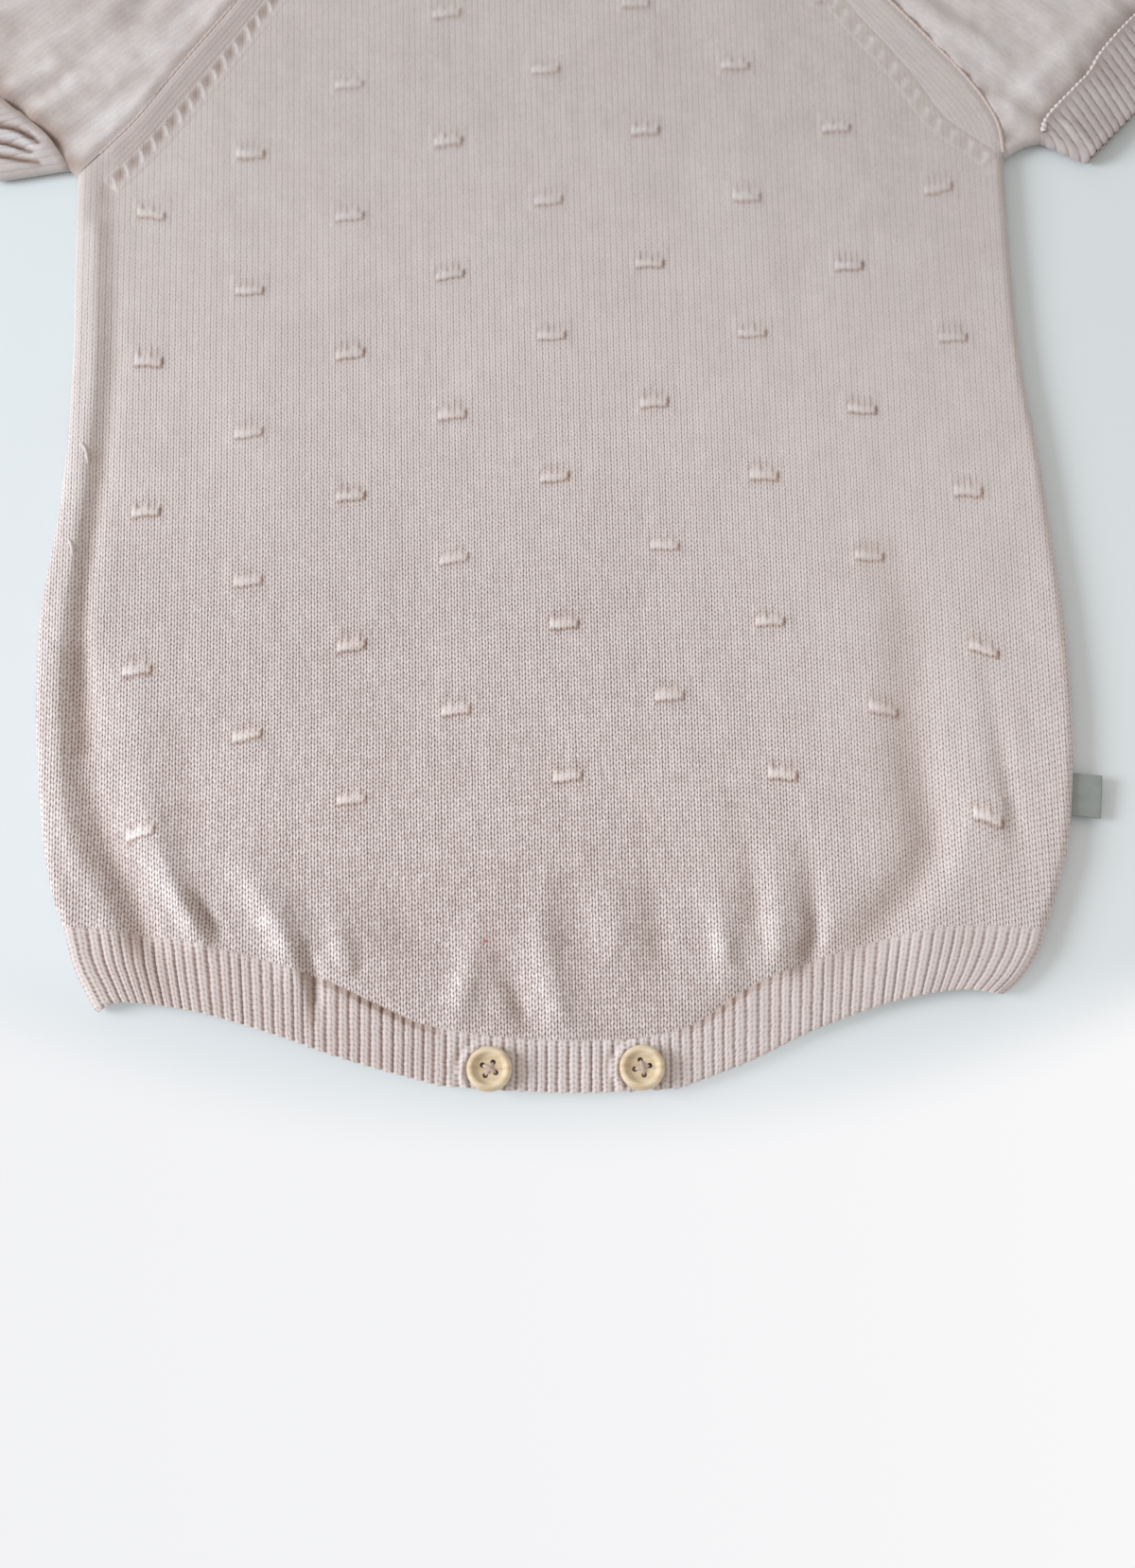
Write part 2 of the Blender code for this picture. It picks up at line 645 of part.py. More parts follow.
def build_button(name, x, y, turn, finish):
    """Turned four-hole button with a raised rim."""
    shape = bmesh.new()
    rings = []
    for radius, height in BUTTON_SECTION:
        count = 1 if radius == 0 else BUTTON_SEGMENTS
        ring = []
        for index in range(count):
            angle = 2 * math.pi * index / BUTTON_SEGMENTS
            spot = Vector((radius * math.cos(angle), radius * math.sin(angle), height))
            ring.append(shape.verts.new(spot * MM))
        rings.append(ring)
    for low, high in zip(rings, rings[1:]):
        for k in range(BUTTON_SEGMENTS):
            after = (k + 1) % BUTTON_SEGMENTS
            corners = [low[k % len(low)], low[after % len(low)], high[after % len(high)],
                       high[k % len(high)]]
            shape.faces.new(list(dict.fromkeys(corners)))
    mesh = bpy.data.meshes.new(name)
    shape.to_mesh(mesh)
    shape.free()
    made = add_object(name, mesh, finish)
    made.location = Vector((x, y, BUTTON_BASE)) * MM
    for index in range(4):
        angle = math.radians(turn + 90 * index)
        cutter_name = f"{name}_hole_{index + 1}"
        drill = bmesh.new()
        bmesh.ops.create_cone(drill, cap_ends=True, segments=HOLE_SEGMENTS,
                              radius1=HOLE_RADIUS * MM, radius2=HOLE_RADIUS * MM,
                              depth=3 * BUTTON_THICKNESS * MM)
        drill_mesh = bpy.data.meshes.new(cutter_name)
        drill.to_mesh(drill_mesh)
        drill.free()
        cutter = bpy.data.objects.new(cutter_name, drill_mesh)
        bpy.context.scene.collection.objects.link(cutter)
        offset = Vector((math.cos(angle), math.sin(angle), 0)) * HOLE_OFFSET
        cutter.location = (Vector((x, y, BUTTON_BASE)) + offset) * MM
        cutter.hide_render = True
        cutter.display_type = "WIRE"
        cut = made.modifiers.new(cutter_name, "BOOLEAN")
        cut.operation = "DIFFERENCE"
        cut.object = cutter
    mesh.shade_smooth()
    mesh.set_sharp_from_angle(angle=math.radians(50))
    return made


def build_label(finish):
    """Folded woven label that stands out from the right side seam."""
    steps = 6
    half = LABEL_THICKNESS / 2
    outline = [(0.0, -half), (LABEL_REACH - half, -half)]
    for index in range(1, steps):
        angle = -math.pi / 2 + math.pi * index / steps
        outline.append((LABEL_REACH - half + half * math.cos(angle), half * math.sin(angle)))
    outline += [(LABEL_REACH - half, half), (0.0, half)]
    seam = min(side_right.points, key=lambda point: abs(point.y - LABEL_CENTRE_Y))
    shape = bmesh.new()
    ends = []
    for end in (-0.5, 0.5):
        ends.append([shape.verts.new(Vector((x, end * LABEL_LENGTH, z)) * MM) for x, z in outline])
    shape.faces.new(ends[0])
    shape.faces.new(reversed(ends[1]))
    for k in range(len(outline)):
        after = (k + 1) % len(outline)
        shape.faces.new([ends[0][after], ends[0][k], ends[1][k], ends[1][after]])
    bmesh.ops.recalc_face_normals(shape, faces=shape.faces)
    mesh = bpy.data.meshes.new("side_label")
    shape.to_mesh(mesh)
    shape.free()
    made = add_object("side_label", mesh, finish)
    made.location = Vector((seam.x + LABEL_GAP, seam.y, LABEL_HEIGHT)) * MM
    made.rotation_euler = (0.0, 0.0, LABEL_TILT)
    return made


def main():
    for old in list(bpy.data.objects):
        bpy.data.objects.remove(old, do_unlink=True)
    jersey = material("jersey", (0.56, 0.49, 0.47), 0.9)
    rib = material("rib", (0.57, 0.50, 0.47), 0.9)
    wood = material("wood", (0.72, 0.56, 0.36), 0.55)
    woven = material("woven_label", (0.22, 0.24, 0.24), 0.8)
    build_front_panel(jersey)
    build_back_panel(jersey)
    build_sleeve("sleeve_left", "left", jersey)
    build_sleeve("sleeve_right", "right", jersey)
    build_cuff("cuff_left", "left", rib)
    build_cuff("cuff_right", "right", rib)
    build_neckband(rib)
    build_leg_band("leg_band_left", "left", rib)
    build_leg_band("leg_band_right", "right", rib)
    build_crotch_band("crotch_band_front", 1, rib)
    build_crotch_band("crotch_band_back", -1, rib)
    for name, (x, y, turn) in BUTTONS.items():
        build_button(name, x, y, turn, wood)
    build_label(woven)


main()
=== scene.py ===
"""Looks of the knitted baby bodysuit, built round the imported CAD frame.

Plan tables are in millimetres in the garment's own frame: +X towards the side with the label,
+Y towards the neck, +Z up. MM turns them into metres. Every piece of cloth is a thin wall on
its CAD solid's form, with the creases, ribs and tufts that the CAD leaves out.
"""
import math

import bpy
import numpy as np
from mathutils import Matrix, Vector

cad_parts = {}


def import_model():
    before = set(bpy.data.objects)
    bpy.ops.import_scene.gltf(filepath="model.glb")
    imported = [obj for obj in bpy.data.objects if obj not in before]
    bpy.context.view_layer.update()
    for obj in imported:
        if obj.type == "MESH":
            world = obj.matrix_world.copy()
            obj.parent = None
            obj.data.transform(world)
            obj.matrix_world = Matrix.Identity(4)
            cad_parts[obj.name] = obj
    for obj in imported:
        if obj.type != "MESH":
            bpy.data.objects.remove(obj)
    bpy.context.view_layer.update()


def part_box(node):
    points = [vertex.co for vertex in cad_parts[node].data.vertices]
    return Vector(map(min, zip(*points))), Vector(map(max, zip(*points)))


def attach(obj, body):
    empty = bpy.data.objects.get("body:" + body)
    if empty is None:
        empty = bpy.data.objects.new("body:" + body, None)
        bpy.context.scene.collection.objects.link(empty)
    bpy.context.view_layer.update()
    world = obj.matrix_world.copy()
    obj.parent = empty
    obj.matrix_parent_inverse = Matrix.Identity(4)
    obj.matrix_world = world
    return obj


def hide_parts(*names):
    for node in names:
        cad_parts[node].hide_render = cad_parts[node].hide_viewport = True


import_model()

MM = 0.001

# Cloth
JERSEY_WALL = 0.9
RIB_WALL = 1.1
ROLL_REACH = 3.2
ROLL_STEPS = (0.0, 0.05, 0.2, 0.45, 0.8, 1.25, 1.8, 2.4, 3.2)
SIDE_SEAM_INSET = 7.5
WALE = 1.81
COURSE = 1.468
RIB_PITCH = 3.08
RIB_DEPTH = 0.75
RIB_FADE = 2.6

# Free edge of a rib: how far it drops, where the drop starts, and how far its crowns stick out
EDGE_DROP = 0.55
EDGE_ROUND = 1.3
LIP_REACH = 1.5

# Folded sides of the body, from the band join up to the underarm: x, y
LEFT_SIDE = ((-136, -160), (-140, -150), (-144, -132), (-148.2, -98), (-149.1, -66),
             (-146.6, -40), (-145, -14), (-145.1, 17), (-146.5, 50), (-147.5, 80))
RIGHT_SIDE = ((139.8, -160.5), (143.5, -150), (148.4, -132), (151.6, -98), (151, -66),
              (149, -40), (146.8, -14), (143.5, 17), (142.3, 50), (142.1, 87))

# Raglan seams, from the underarm up to the neck seam: x, y
LEFT_RAGLAN_START = ((-147.5, 80), (-131, 99.5), (-120, 116), (-100, 145))
RIGHT_RAGLAN_START = ((142.1, 87), (140, 101), (130, 118), (108, 145))
LEFT_BACK_RAGLAN_START = ((-147.5, 80), (-126, 112), (-95, 154))
RIGHT_BACK_RAGLAN_START = ((142.1, 87), (123, 118), (94, 155))
SEAM_START = 10.0

# Ribbed band round the lower edge: where it joins the jersey, and its free edge: x, y
BAND_JOIN = ((-136, -160), (-113.7, -162), (-87, -167.4), (-61.7, -175.2), (-47, -181.9),
             (-29.6, -188.6), (5, -191.9), (36.3, -189), (58.1, -176), (84.8, -166.1),
             (111.6, -160.1), (139.8, -160.5))
LEFT_LEG_EDGE = ((-125.5, -184), (-117.9, -181.2), (-98.4, -183.7), (-76.9, -189.8),
                 (-54.6, -197.4), (-29.6, -204.3))
CROTCH_EDGE = ((-29.6, -204.3), (5, -206.2), (36.3, -205.0))
RIGHT_LEG_EDGE = ((127, -179), (114.3, -177.6), (95.3, -181.2), (73.5, -189.1), (54.9, -197.9),
                  (36.3, -205.0))
LEFT_HIP_FOLD = ((-125.5, -184), (-128.6, -178.7), (-132.8, -170.7), (-136, -160))
RIGHT_HIP_FOLD = ((127, -179), (132.2, -174.4), (137.2, -167.4), (139.8, -160.5))
# Where the leg openings curve most: x, half width and share
LEG_CURVES = ((-48, 19, 1.0), (52, 17, 0.9))
# Ends of the crotch flap: x
CROTCH_LEFT = -29.6
CROTCH_RIGHT = 36.3
# How far the edge of the back layer is set in, and how far along the band that takes
BACK_EDGE_INSET = 2.2
INSET_START = 8.0
# Direction of the back's wales, in degrees from +X
BACK_WALES = 90.0

# Neck opening: two half-ovals about the same line, the seam and the free edge
NECK_SEAM = {"half": 79.0, "y": 201.8, "front": 42.0, "back": 10.0}
NECK_EDGE = {"half": 66.0, "y": 206.8, "front": 32.8, "back": 1.0}
NECK_HEIGHT = 12.0
RAGLAN_ANGLES = {"front": math.radians(22.5), "back": math.radians(34.6)}

# Sleeves: underside, cuff seam and free edge of the cuff, each from the lower fold: x, y
LEFT_UNDERSIDE = ((-147.5, 80), (-150.5, 83.5))
LEFT_CUFF_SEAM = ((-150.5, 83.5), (-157.5, 94), (-166, 102), (-174, 109), (-213, 150))
LEFT_CUFF_EDGE = ((-173.8, 79.3), (-175.2, 88.5), (-181, 100.5), (-200, 118), (-225, 137.5))
RIGHT_UNDERSIDE = ((142.1, 87), (149, 91.6), (154.3, 93))
RIGHT_CUFF_SEAM = ((154.3, 93), (157.1, 101.5), (170.5, 116.7), (178.9, 129.3), (208.5, 162.3))
RIGHT_CUFF_EDGE = ((168.1, 85.8), (184.5, 103.6), (225, 150))

# Outer height of the flattened garment: y, height
HEIGHT_ROWS = ((-206.8, 3.9), (-193, 3.9), (-186, 4.6), (-165, 5.4), (-140, 5.8),
               (-100, 5.6), (0, 5.4), (100, 5.2), (150, 5.0), (206.8, 4.8))

# Creases of the front: half width, height, share of the height at the start, and the line each
# one follows: x, y
FRONT_CREASES = (
    (3.4, 0.9, 1.0, ((-140.6, 60), (-139.5, 42), (-138.3, 10), (-140.3, -21), (-141.6, -52),
                     (-143.4, -81), (-141.3, -110), (-139, -124), (-135, -138), (-126.5, -152),
                     (-121, -165))),
    (2.9, -1.6, 0.1, ((-137.4, 74), (-136, 58), (-134.4, 40), (-133.2, 10), (-134, -21), (-136, -52),
                      (-136, -81), (-133.5, -107))),
    (4.6, -2.7, 0.5, ((-135.6, -81), (-132.8, -110), (-130, -124), (-124.4, -138), (-117, -152),
                      (-112, -165), (-108, -176))),
    (5.0, 1.5, 0.3, ((-120, -88), (-118, -108), (-115, -124), (-110.5, -138), (-104.5, -150))),
    (2.8, 2.6, 0.15, ((-109.5, -135), (-107.2, -145), (-102.8, -153.5), (-97, -164))),
    (5.0, -0.7, 0.3, ((-102.5, -104), (-102, -120), (-100.6, -132))),
    (2.0, -2.2, 0.05, ((-103, -143), (-100.8, -148), (-96.2, -155.5), (-92, -163))),
    (4.6, 3.4, 0.12, ((-91, -137), (-84.5, -146), (-78.5, -154), (-73.5, -162), (-70, -171))),
    (2.1, -2.6, 0.1, ((-77.5, -151), (-73, -158.5), (-67.8, -167), (-65, -177), (-64, -186))),
    (3.4, 1.5, 0.2, ((-63, -152), (-59, -162), (-56, -171))),
    (1.8, -1.0, 0.3, ((-53.8, -166), (-52.4, -169), (-52.6, -172.5))),
    (7.5, -1.0, 0.4, ((-46, -152), (-40, -160), (-33, -166))),
    (3.4, 1.9, 0.2, ((-20, -160), (-21.5, -170), (-24.5, -184))),
    (2.7, -2.1, 0.2, ((-12.9, -168), (-9.4, -177), (-6, -187))),
    (3.6, 1.8, 0.2, ((-1.5, -146), (-2, -160), (0.5, -174), (5, -189))),
    (5.0, -1.1, 0.3, ((4, -147), (5.5, -157), (9, -167))),
    (3.6, 1.3, 0.3, ((17, -152), (19.5, -165))),
    (3.8, -1.4, 0.3, ((29.5, -146), (30.5, -158), (31, -170))),
    (3.2, 1.9, 0.2, ((46.5, -148), (48.5, -160), (50, -173))),
    (3.2, -1.2, 0.2, ((54.5, -126), (57.5, -145), (58.5, -163))),
    (3.0, 1.3, 0.2, ((64, -140), (64.5, -157), (63.5, -171))),
    (2.8, -2.8, 0.2, ((73.2, -138), (74.4, -152), (74.6, -161), (72, -171))),
    (6.3, -2.5, 0.35, ((101.4, -50), (105, -63), (105.3, -81), (104.6, -96), (105.8, -110), (107, -124),
                      (108.4, -134), (105, -145), (97, -155), (88, -163), (80, -169))),
    (7.0, 0.8, 0.2, ((121, -86), (122.5, -106), (121, -126), (116, -142), (104, -157))),
    (2.4, -1.0, 0.3, ((127.6, -86), (129.8, -107), (131.4, -121), (133.4, -138))),
    (3.0, 0.5, 0.5, ((123, -123), (127, -125.5), (131, -124))),
    (14.0, 1.1, 1.0, ((-76, -123), (-20, -126), (62, -123))),
    (9.0, -0.7, 1.0, ((-62, -155), (0, -159), (46, -155))),
    (9.0, 0.25, 1.0, ((20, 150), (24, 110), (18, 60))),
    (10.0, -0.25, 1.0, ((44, 140), (47, 95), (42, 50))),
    (16.0, 0.5, 1.0, ((-95, 20), (-80, -30), (-84, -80))),
    (18.0, -0.4, 1.0, ((-40, 40), (-36, -20), (-44, -90))),
)
BROAD_CREASE = 8.5
CREASE_FADE = 9.0
DAPPLE_CELLS = 400

# Painted shade and light of the folds: for their height, for the slope over twice a reach, and its
# limits
FOLD_LIGHT = 0.06
SLOPE_LIGHT = 0.075
SLOPE_REACH = (0.8, 0)
SHADE_LIMITS = (0.72, 1.14)
# Painted shade of the left side seam, which sets in over a span up the side, and of the valley
# beside it
SIDE_SHADE = ((-0.1, 0.0, 1.9),)
SIDE_SHADE_START = (-10, 60)
VALLEY_SHADE = ((-0.09, 0.0, 2.2),)

# Relief beside the front's seams and marks, as rows for ridges(), and its share on the left and
# on the right
SEAM_RIDGES = ((-0.49, 0.0, 1.1), (0.245, 3.0, 1.8))
MARK_RIDGES = ((-0.5, 0.0, 2.4),)
FIRM = (0.8, 0.4)
# Step down from the jersey to the band: height and half width, and the painted shade below it
JOIN_DROP = 0.9
JOIN_REACH = 1.5
JOIN_SHADE = ((-1.0, 0.8, 1.1),)
JOIN_GAP_SHADE = (0.2, 0.5)
# Dapple of the front and the shade: size, seed and height
FRONT_DAPPLE = ((5.5, 1, 0.07), (13.0, 2, 0.12))
SHADE_DAPPLE = ((9.0, 3, 0.02),)

# Creases of the sleeves, as FRONT_CREASES
SLEEVE_CREASES = (
    (3.0, -1.3, 1.0, ((-177, 101), (-166, 107), (-156, 113))),
    (3.6, 0.9, 1.0, ((-180, 107), (-167, 114), (-154, 119))),
    (4.0, 0.8, 1.0, ((-166, 100), (-155, 106.5), (-143, 111))),
    (3.8, -0.8, 1.0, ((-156, 91), (-147, 99), (-135, 109), (-124, 122))),
    (4.0, -1.0, 1.0, ((-171, 104), (-161, 97), (-154, 89))),
    (6.0, 0.8, 1.0, ((-158, 126), (-146, 134), (-134, 150))),
    (5.0, -0.7, 1.0, ((-146, 124), (-135, 133), (-127, 147))),
    (7.0, 0.9, 1.0, ((-196, 136), (-172, 140), (-150, 160))),
    (7.0, -0.8, 1.0, ((-180, 152), (-150, 160), (-120, 176))),
    (4.0, 1.2, 1.0, ((144, 102), (153, 113), (163, 124), (178, 140))),
    (3.4, -1.0, 1.0, ((157, 101.5), (170.5, 116.7), (178.9, 129.3), (208, 162))),
    (3.2, -0.7, 1.0, ((143.5, 92.5), (149, 95), (154, 94.5))),
    (5.0, 0.7, 1.0, ((118, 140), (128, 132), (142, 128))),
    (5.5, -0.7, 1.0, ((124, 146), (136, 139), (152, 135))),
    (8.0, 0.8, 1.0, ((150, 138), (170, 146), (190, 150))),
    (7.0, -0.8, 1.0, ((130, 158), (150, 163), (176, 165))),
    (8.0, 0.7, 1.0, ((116, 168), (138, 175), (160, 180))),
)

# Creases pressed into the back, as FRONT_CREASES
BACK_CREASES = (
    (7.0, 0.7, 1.0, ((-112, -134), (-98, -148), (-84, -162))),
    (6.0, 0.6, 1.0, ((-58, -150), (-55, -162), (-50, -174))),
    (7.0, 0.5, 1.0, ((-4, -156), (0, -170), (2, -184))),
    (6.0, 0.6, 1.0, ((52, -150), (50, -162), (46, -174))),
    (8.0, 0.7, 1.0, ((108, -130), (98, -147), (86, -160))),
    (9.0, 0.4, 1.0, ((-120, 60), (-90, 70), (-60, 74))),
    (9.0, 0.4, 1.0, ((30, 96), (70, 94), (104, 84))),
    (10.0, 0.4, 1.0, ((-30, 150), (-5, 156), (20, 158))),
)

# Dents in the right sleeve's edge, just off its raglan seam: x, y
SEAM_DENTS = ((109, 142), (114.5, 134.5), (119, 130), (123.5, 123), (130.5, 115.5), (136, 109.5),
              (141, 100.5), (143.5, 93))
DENT_OFFSET = (1.6, 1.2)
DENT_SIZE = 2.3
DENT_DEPTH = 0.9
DENT_SHADE = 0.18

# Rows of narrowing stitches inside the raglan seams: x, y
LEFT_MARKS = ((-137.5, 75), (-132.5, 80.5), (-124.5, 90), (-113.5, 105), (-106.5, 115.5),
              (-93, 136), (-81, 155), (-68, 174))
RIGHT_MARKS = ((138.5, 84), (134, 88.5), (121.5, 99), (114.5, 110.5), (106.5, 122.5),
               (95.5, 137), (83, 155), (68, 174))
MARK_PITCH = 6.1

# Tufts of the front: one repeat is 34 wales across, and the rows are 16 courses apart
TUFT_REPEAT = 61.6
TUFT_TOP = 165.8
TUFT_ROW_PITCH = 23.49
TUFT_ROWS = 13
TUFT_MARGIN = 14.0
TUFT_LIMIT = (134.0, 176.0)
NECK_LIMIT = ((-16.0, 0.0, 40.0),)
# One tuft: half its width, how far it stands up, its size along the wales, how far its foot
# lies below the middle, its slope, and the strength of the painted highlight and painted shade
# of each part of it
TUFT_HALF = 4.5
TUFT_RISE = 0.34
TUFT_HEIGHT = 3.3
TUFT_FOOT = 2.4
TUFT_SLOPE = 0.05
TUFT_SHADE = 0.5
TUFT_LIGHT = 0.11
TUFT_RIM = 0.2
TUFT_SLOT = 0.34
TUFT_BELOW = 0.03
# The tufts get softer from this height up, over this span
TUFT_SOFT_Y = 20.0
TUFT_SOFT_SPAN = 100.0
# Height of a patch above the front in its middle, and below it at its rim
PATCH_OVER = 0.2
PATCH_UNDER = 0.08
# Sideways drift of the tufts: mm at the origin, and per 100 mm across, up and both
TUFT_DRIFT = (-0.46, 0.71, -1.05, -1.84)
TUFT_CLIMB = 2.2
# Below this height they don't drift: it ends over this span
DRIFT_END = (-120.0, 6.0)

# How the knit lies on the front: at the upper and the lower tuft row, courses rise by so much
# at these places across
COURSE_X = (-121.0, -60.0, 1.0, 63.0, 123.0)
COURSE_TOP = (-5.4, -5.6, 0.0, 0.3, 2.3)
COURSE_LOW = (-17.5, -7.3, 0.0, 1.2, -10.9)
KNIT_TOP_Y = 72.0
KNIT_SPAN = 188.0
KNIT_SHIFT = (0.5, 4.2)
KNIT_NARROWING = 0.031

# Grid cells, and the spacing that joins two grids' points
FRONT_CELL = 1.5
BACK_CELL = 2.2
RIB_CELL = 0.4
WELD = 0.01

# The two runs of a flattened tube, and how each one faces
RUNS = (("front", 1), ("back", -1))


# ---------------------------------------------------------------- plan curves and grids

def curve(table, steps=8):
    """Smooth plan curve through a short table of points, as close points."""
    knots = np.array(table, float)
    chain = np.vstack([2 * knots[0] - knots[1], knots, 2 * knots[-1] - knots[-2]])
    t = (np.arange(1, steps + 1) / steps)[:, None]
    spans = [knots[:1]]
    for p0, p1, p2, p3 in zip(chain, chain[1:], chain[2:], chain[3:]):
        square = (2 * p0 - 5 * p1 + 4 * p2 - p3) * t ** 2
        cubic = (3 * p1 - p0 - 3 * p2 + p3) * t ** 3
        spans.append((2 * p1 + (p2 - p0) * t + square + cubic) / 2)
    return np.vstack(spans)


def running(points):
    """Running length along a chain of points."""
    return np.append(0.0, np.cumsum(np.linalg.norm(np.diff(points, axis=0), axis=1)))


def length(points):
    return running(points)[-1]


def at(points, distances):
    """Points at some distances along a chain."""
    lengths = running(points)
    return np.column_stack([np.interp(distances, lengths, column) for column in points.T])


def at_shares(points, shares):
    return at(points, np.asarray(shares) * length(points))


def spaced(span, cell, fine_start=False, fine_end=False):
    """Distances from 0 to span, about a cell apart, and fine where the cloth turns over."""
    start = np.array(ROLL_STEPS) if fine_start else np.array([0.0])
    end = span - (np.array(ROLL_STEPS)[::-1] if fine_end else np.array([0.0]))
    count = max(int(round((end[0] - start[-1]) / cell)), 1)
    middle = np.linspace(start[-1], end[0], count + 1)
    return np.concatenate([start[:-1], middle, end[1:]])


def near(points, lines):
    """Distance in plan from each point to the nearest of some lines."""
    return np.min([beside(points, line)[0] for line in lines], axis=0)


def beside(points, line):
    """Distance from each point to a line, and the nearest place's share of its length."""
    lengths = running(line)
    best = np.full(len(points), np.inf)
    place = np.zeros(len(points))
    for index, (start, end) in enumerate(zip(line, line[1:])):
        span = end - start
        share = np.clip((points - start) @ span / max(span @ span, 1e-9), 0, 1)
        offset = points - start - share[:, None] * span
        away = np.hypot(offset[:, 0], offset[:, 1])
        nearer = away < best
        best = np.where(nearer, away, best)
        along = lengths[index] + share * (lengths[index + 1] - lengths[index])
        place = np.where(nearer, along, place)
    return best, place / lengths[-1]


def unit(vectors):
    """Vectors brought to length one."""
    return vectors / np.maximum(np.linalg.norm(vectors, axis=-1, keepdims=True), 1e-9)


def between(start, end, shares):
    """Places at some shares of the way from start to end."""
    return start + (end - start) * shares


def smooth(share):
    share = np.clip(share, 0, 1)
    return share * share * (3 - 2 * share)


def sag(points, shares):
    """How far an edge's points lie from the straight line between its ends."""
    return points - points[0] - np.asarray(shares)[:, None] * (points[-1] - points[0])


def patch(bottom, top, left, right, low, high=None, v=None):
    """Grid of plan points, rows by columns, that meets four given edges. low and high are
    the columns' shares along the bottom and the top, and v the rows' shares upwards."""
    high = low if high is None else high
    v = (np.linspace(0, 1, len(left)) if v is None else v)[:, None]
    u = low + (high - low) * v
    grid = left[:, None] * (1 - u[..., None]) + right[:, None] * u[..., None]
    for edge, shares, weight in ((bottom, low, (1 - v) ** 2), (top, high, v ** 2)):
        drop = sag(edge, shares)
        for axis in range(2):
            grid[..., axis] += np.interp(u, shares, drop[:, axis]) * weight
    return grid


def oval(shape, side, angles):
    """Points on the neck's half-oval, by their angles from its +X end."""
    return np.column_stack([shape["half"] * np.cos(angles),
                            shape["y"] - shape[side] * np.sin(angles)])


side_left = curve(LEFT_SIDE)
side_right = curve(RIGHT_SIDE)
join = curve(BAND_JOIN)
hip_left = curve(LEFT_HIP_FOLD)
hip_right = curve(RIGHT_HIP_FOLD)
RAGLAN_STARTS = {("left", "front"): LEFT_RAGLAN_START, ("right", "front"): RIGHT_RAGLAN_START,
                 ("left", "back"): LEFT_BACK_RAGLAN_START, ("right", "back"): RIGHT_BACK_RAGLAN_START}
raglans = {}
for (hand, side), table in RAGLAN_STARTS.items():
    turn = math.pi - RAGLAN_ANGLES[side] if hand == "left" else RAGLAN_ANGLES[side]
    raglans[hand, side] = curve(table + tuple(oval(NECK_SEAM, side, np.array([turn]))))
cuff_seams = {"left": curve(LEFT_CUFF_SEAM), "right": curve(RIGHT_CUFF_SEAM)}
cuff_edges = {"left": curve(LEFT_CUFF_EDGE), "right": curve(RIGHT_CUFF_EDGE)}
undersides = {"left": curve(LEFT_UNDERSIDE), "right": curve(RIGHT_UNDERSIDE)}
neck_ends, edge_ends = [dict(zip(("left", "right"), oval(shape, "front", np.array([math.pi, 0.0]))))
                        for shape in (NECK_SEAM, NECK_EDGE)]
shoulders = {hand: np.array([neck_ends[hand], cuff_seams[hand][-1]]) for hand in cuff_seams}

folds = [side_left, side_right, hip_left, hip_right]
for hand in ("left", "right"):
    folds += [undersides[hand], shoulders[hand]]
    folds += [np.array([cuff_seams[hand][end], cuff_edges[hand][end]]) for end in (0, -1)]
    folds.append(np.array([neck_ends[hand], edge_ends[hand]]))

crotch_left = np.interp(CROTCH_LEFT, join[:, 0], running(join))
crotch_right = np.interp(CROTCH_RIGHT, join[:, 0], running(join))


def creases(points, rows):
    """Height that a table of creases adds over some plan points."""
    height = np.zeros(len(points))
    for half_width, rise, start, table in rows:
        line = curve(table, 4)
        margin = 3.5 * half_width
        inside = (points > line.min(axis=0) - margin) & (points < line.max(axis=0) + margin)
        some = np.flatnonzero(inside.all(axis=1))
        if len(some):
            away, share = beside(points[some], line)
            grown = (start + (1 - start) * smooth(share * 1.25)) * (1 - 0.5 * smooth(share * 6 - 5))
            height[some] += rise * grown * bell(away, half_width * (1 + 0.35 * (1 - grown)))
    return height


def bell(distance, half_width):
    return np.exp(-(distance / half_width) ** 2)


def dapple(points, size, seed):
    """Soft random dapple of about -1 to 1 over some plan points, its patches size apart."""
    table = np.random.default_rng(seed).uniform(-1, 1, (DAPPLE_CELLS, DAPPLE_CELLS))
    place = points / size + DAPPLE_CELLS / 2
    cell = np.floor(place).astype(int)
    x, y = smooth(place - cell).T
    i, j = cell.T % (DAPPLE_CELLS - 1)
    low = table[i, j] * (1 - x) + table[i + 1, j] * x
    high = table[i, j + 1] * (1 - x) + table[i + 1, j + 1] * x
    return low * (1 - y) + high * y


def dappled(points, table):
    """Sum of dapples. Each row is a size, a seed and a height."""
    return sum(height * dapple(points, size, seed) for size, seed, height in table)


def raised(grid, side, relief=None):
    """Plan grid lifted onto the outer face: side 1 is above and -1 below. relief gives the
    height to add, and it fades out at the folded edges."""
    points = grid.reshape(-1, 2)
    distance = near(points, folds)
    inward = np.clip(distance / ROLL_REACH, 0, 1)
    bulge = np.sqrt(1 - (1 - inward) ** 2)
    table = np.array(HEIGHT_ROWS)
    z = np.interp(points[:, 1], table[:, 0], table[:, 1]) / 2 * (1 + side * bulge)
    if relief is not None:
        z = z + relief(points) * np.clip(distance / CREASE_FADE, 0, 1)
    return np.dstack([grid, z.reshape(grid.shape[:2])])


# ---------------------------------------------------------------- how the knit lies

def course_rise(x, share):
    """How far a course has risen at x, between the upper and the lower tuft row."""
    top = np.polyval(np.polyfit(COURSE_X, COURSE_TOP, 4), x)
    low = np.polyval(np.polyfit(COURSE_X, COURSE_LOW, 4), x)
    return top + (low - top) * share


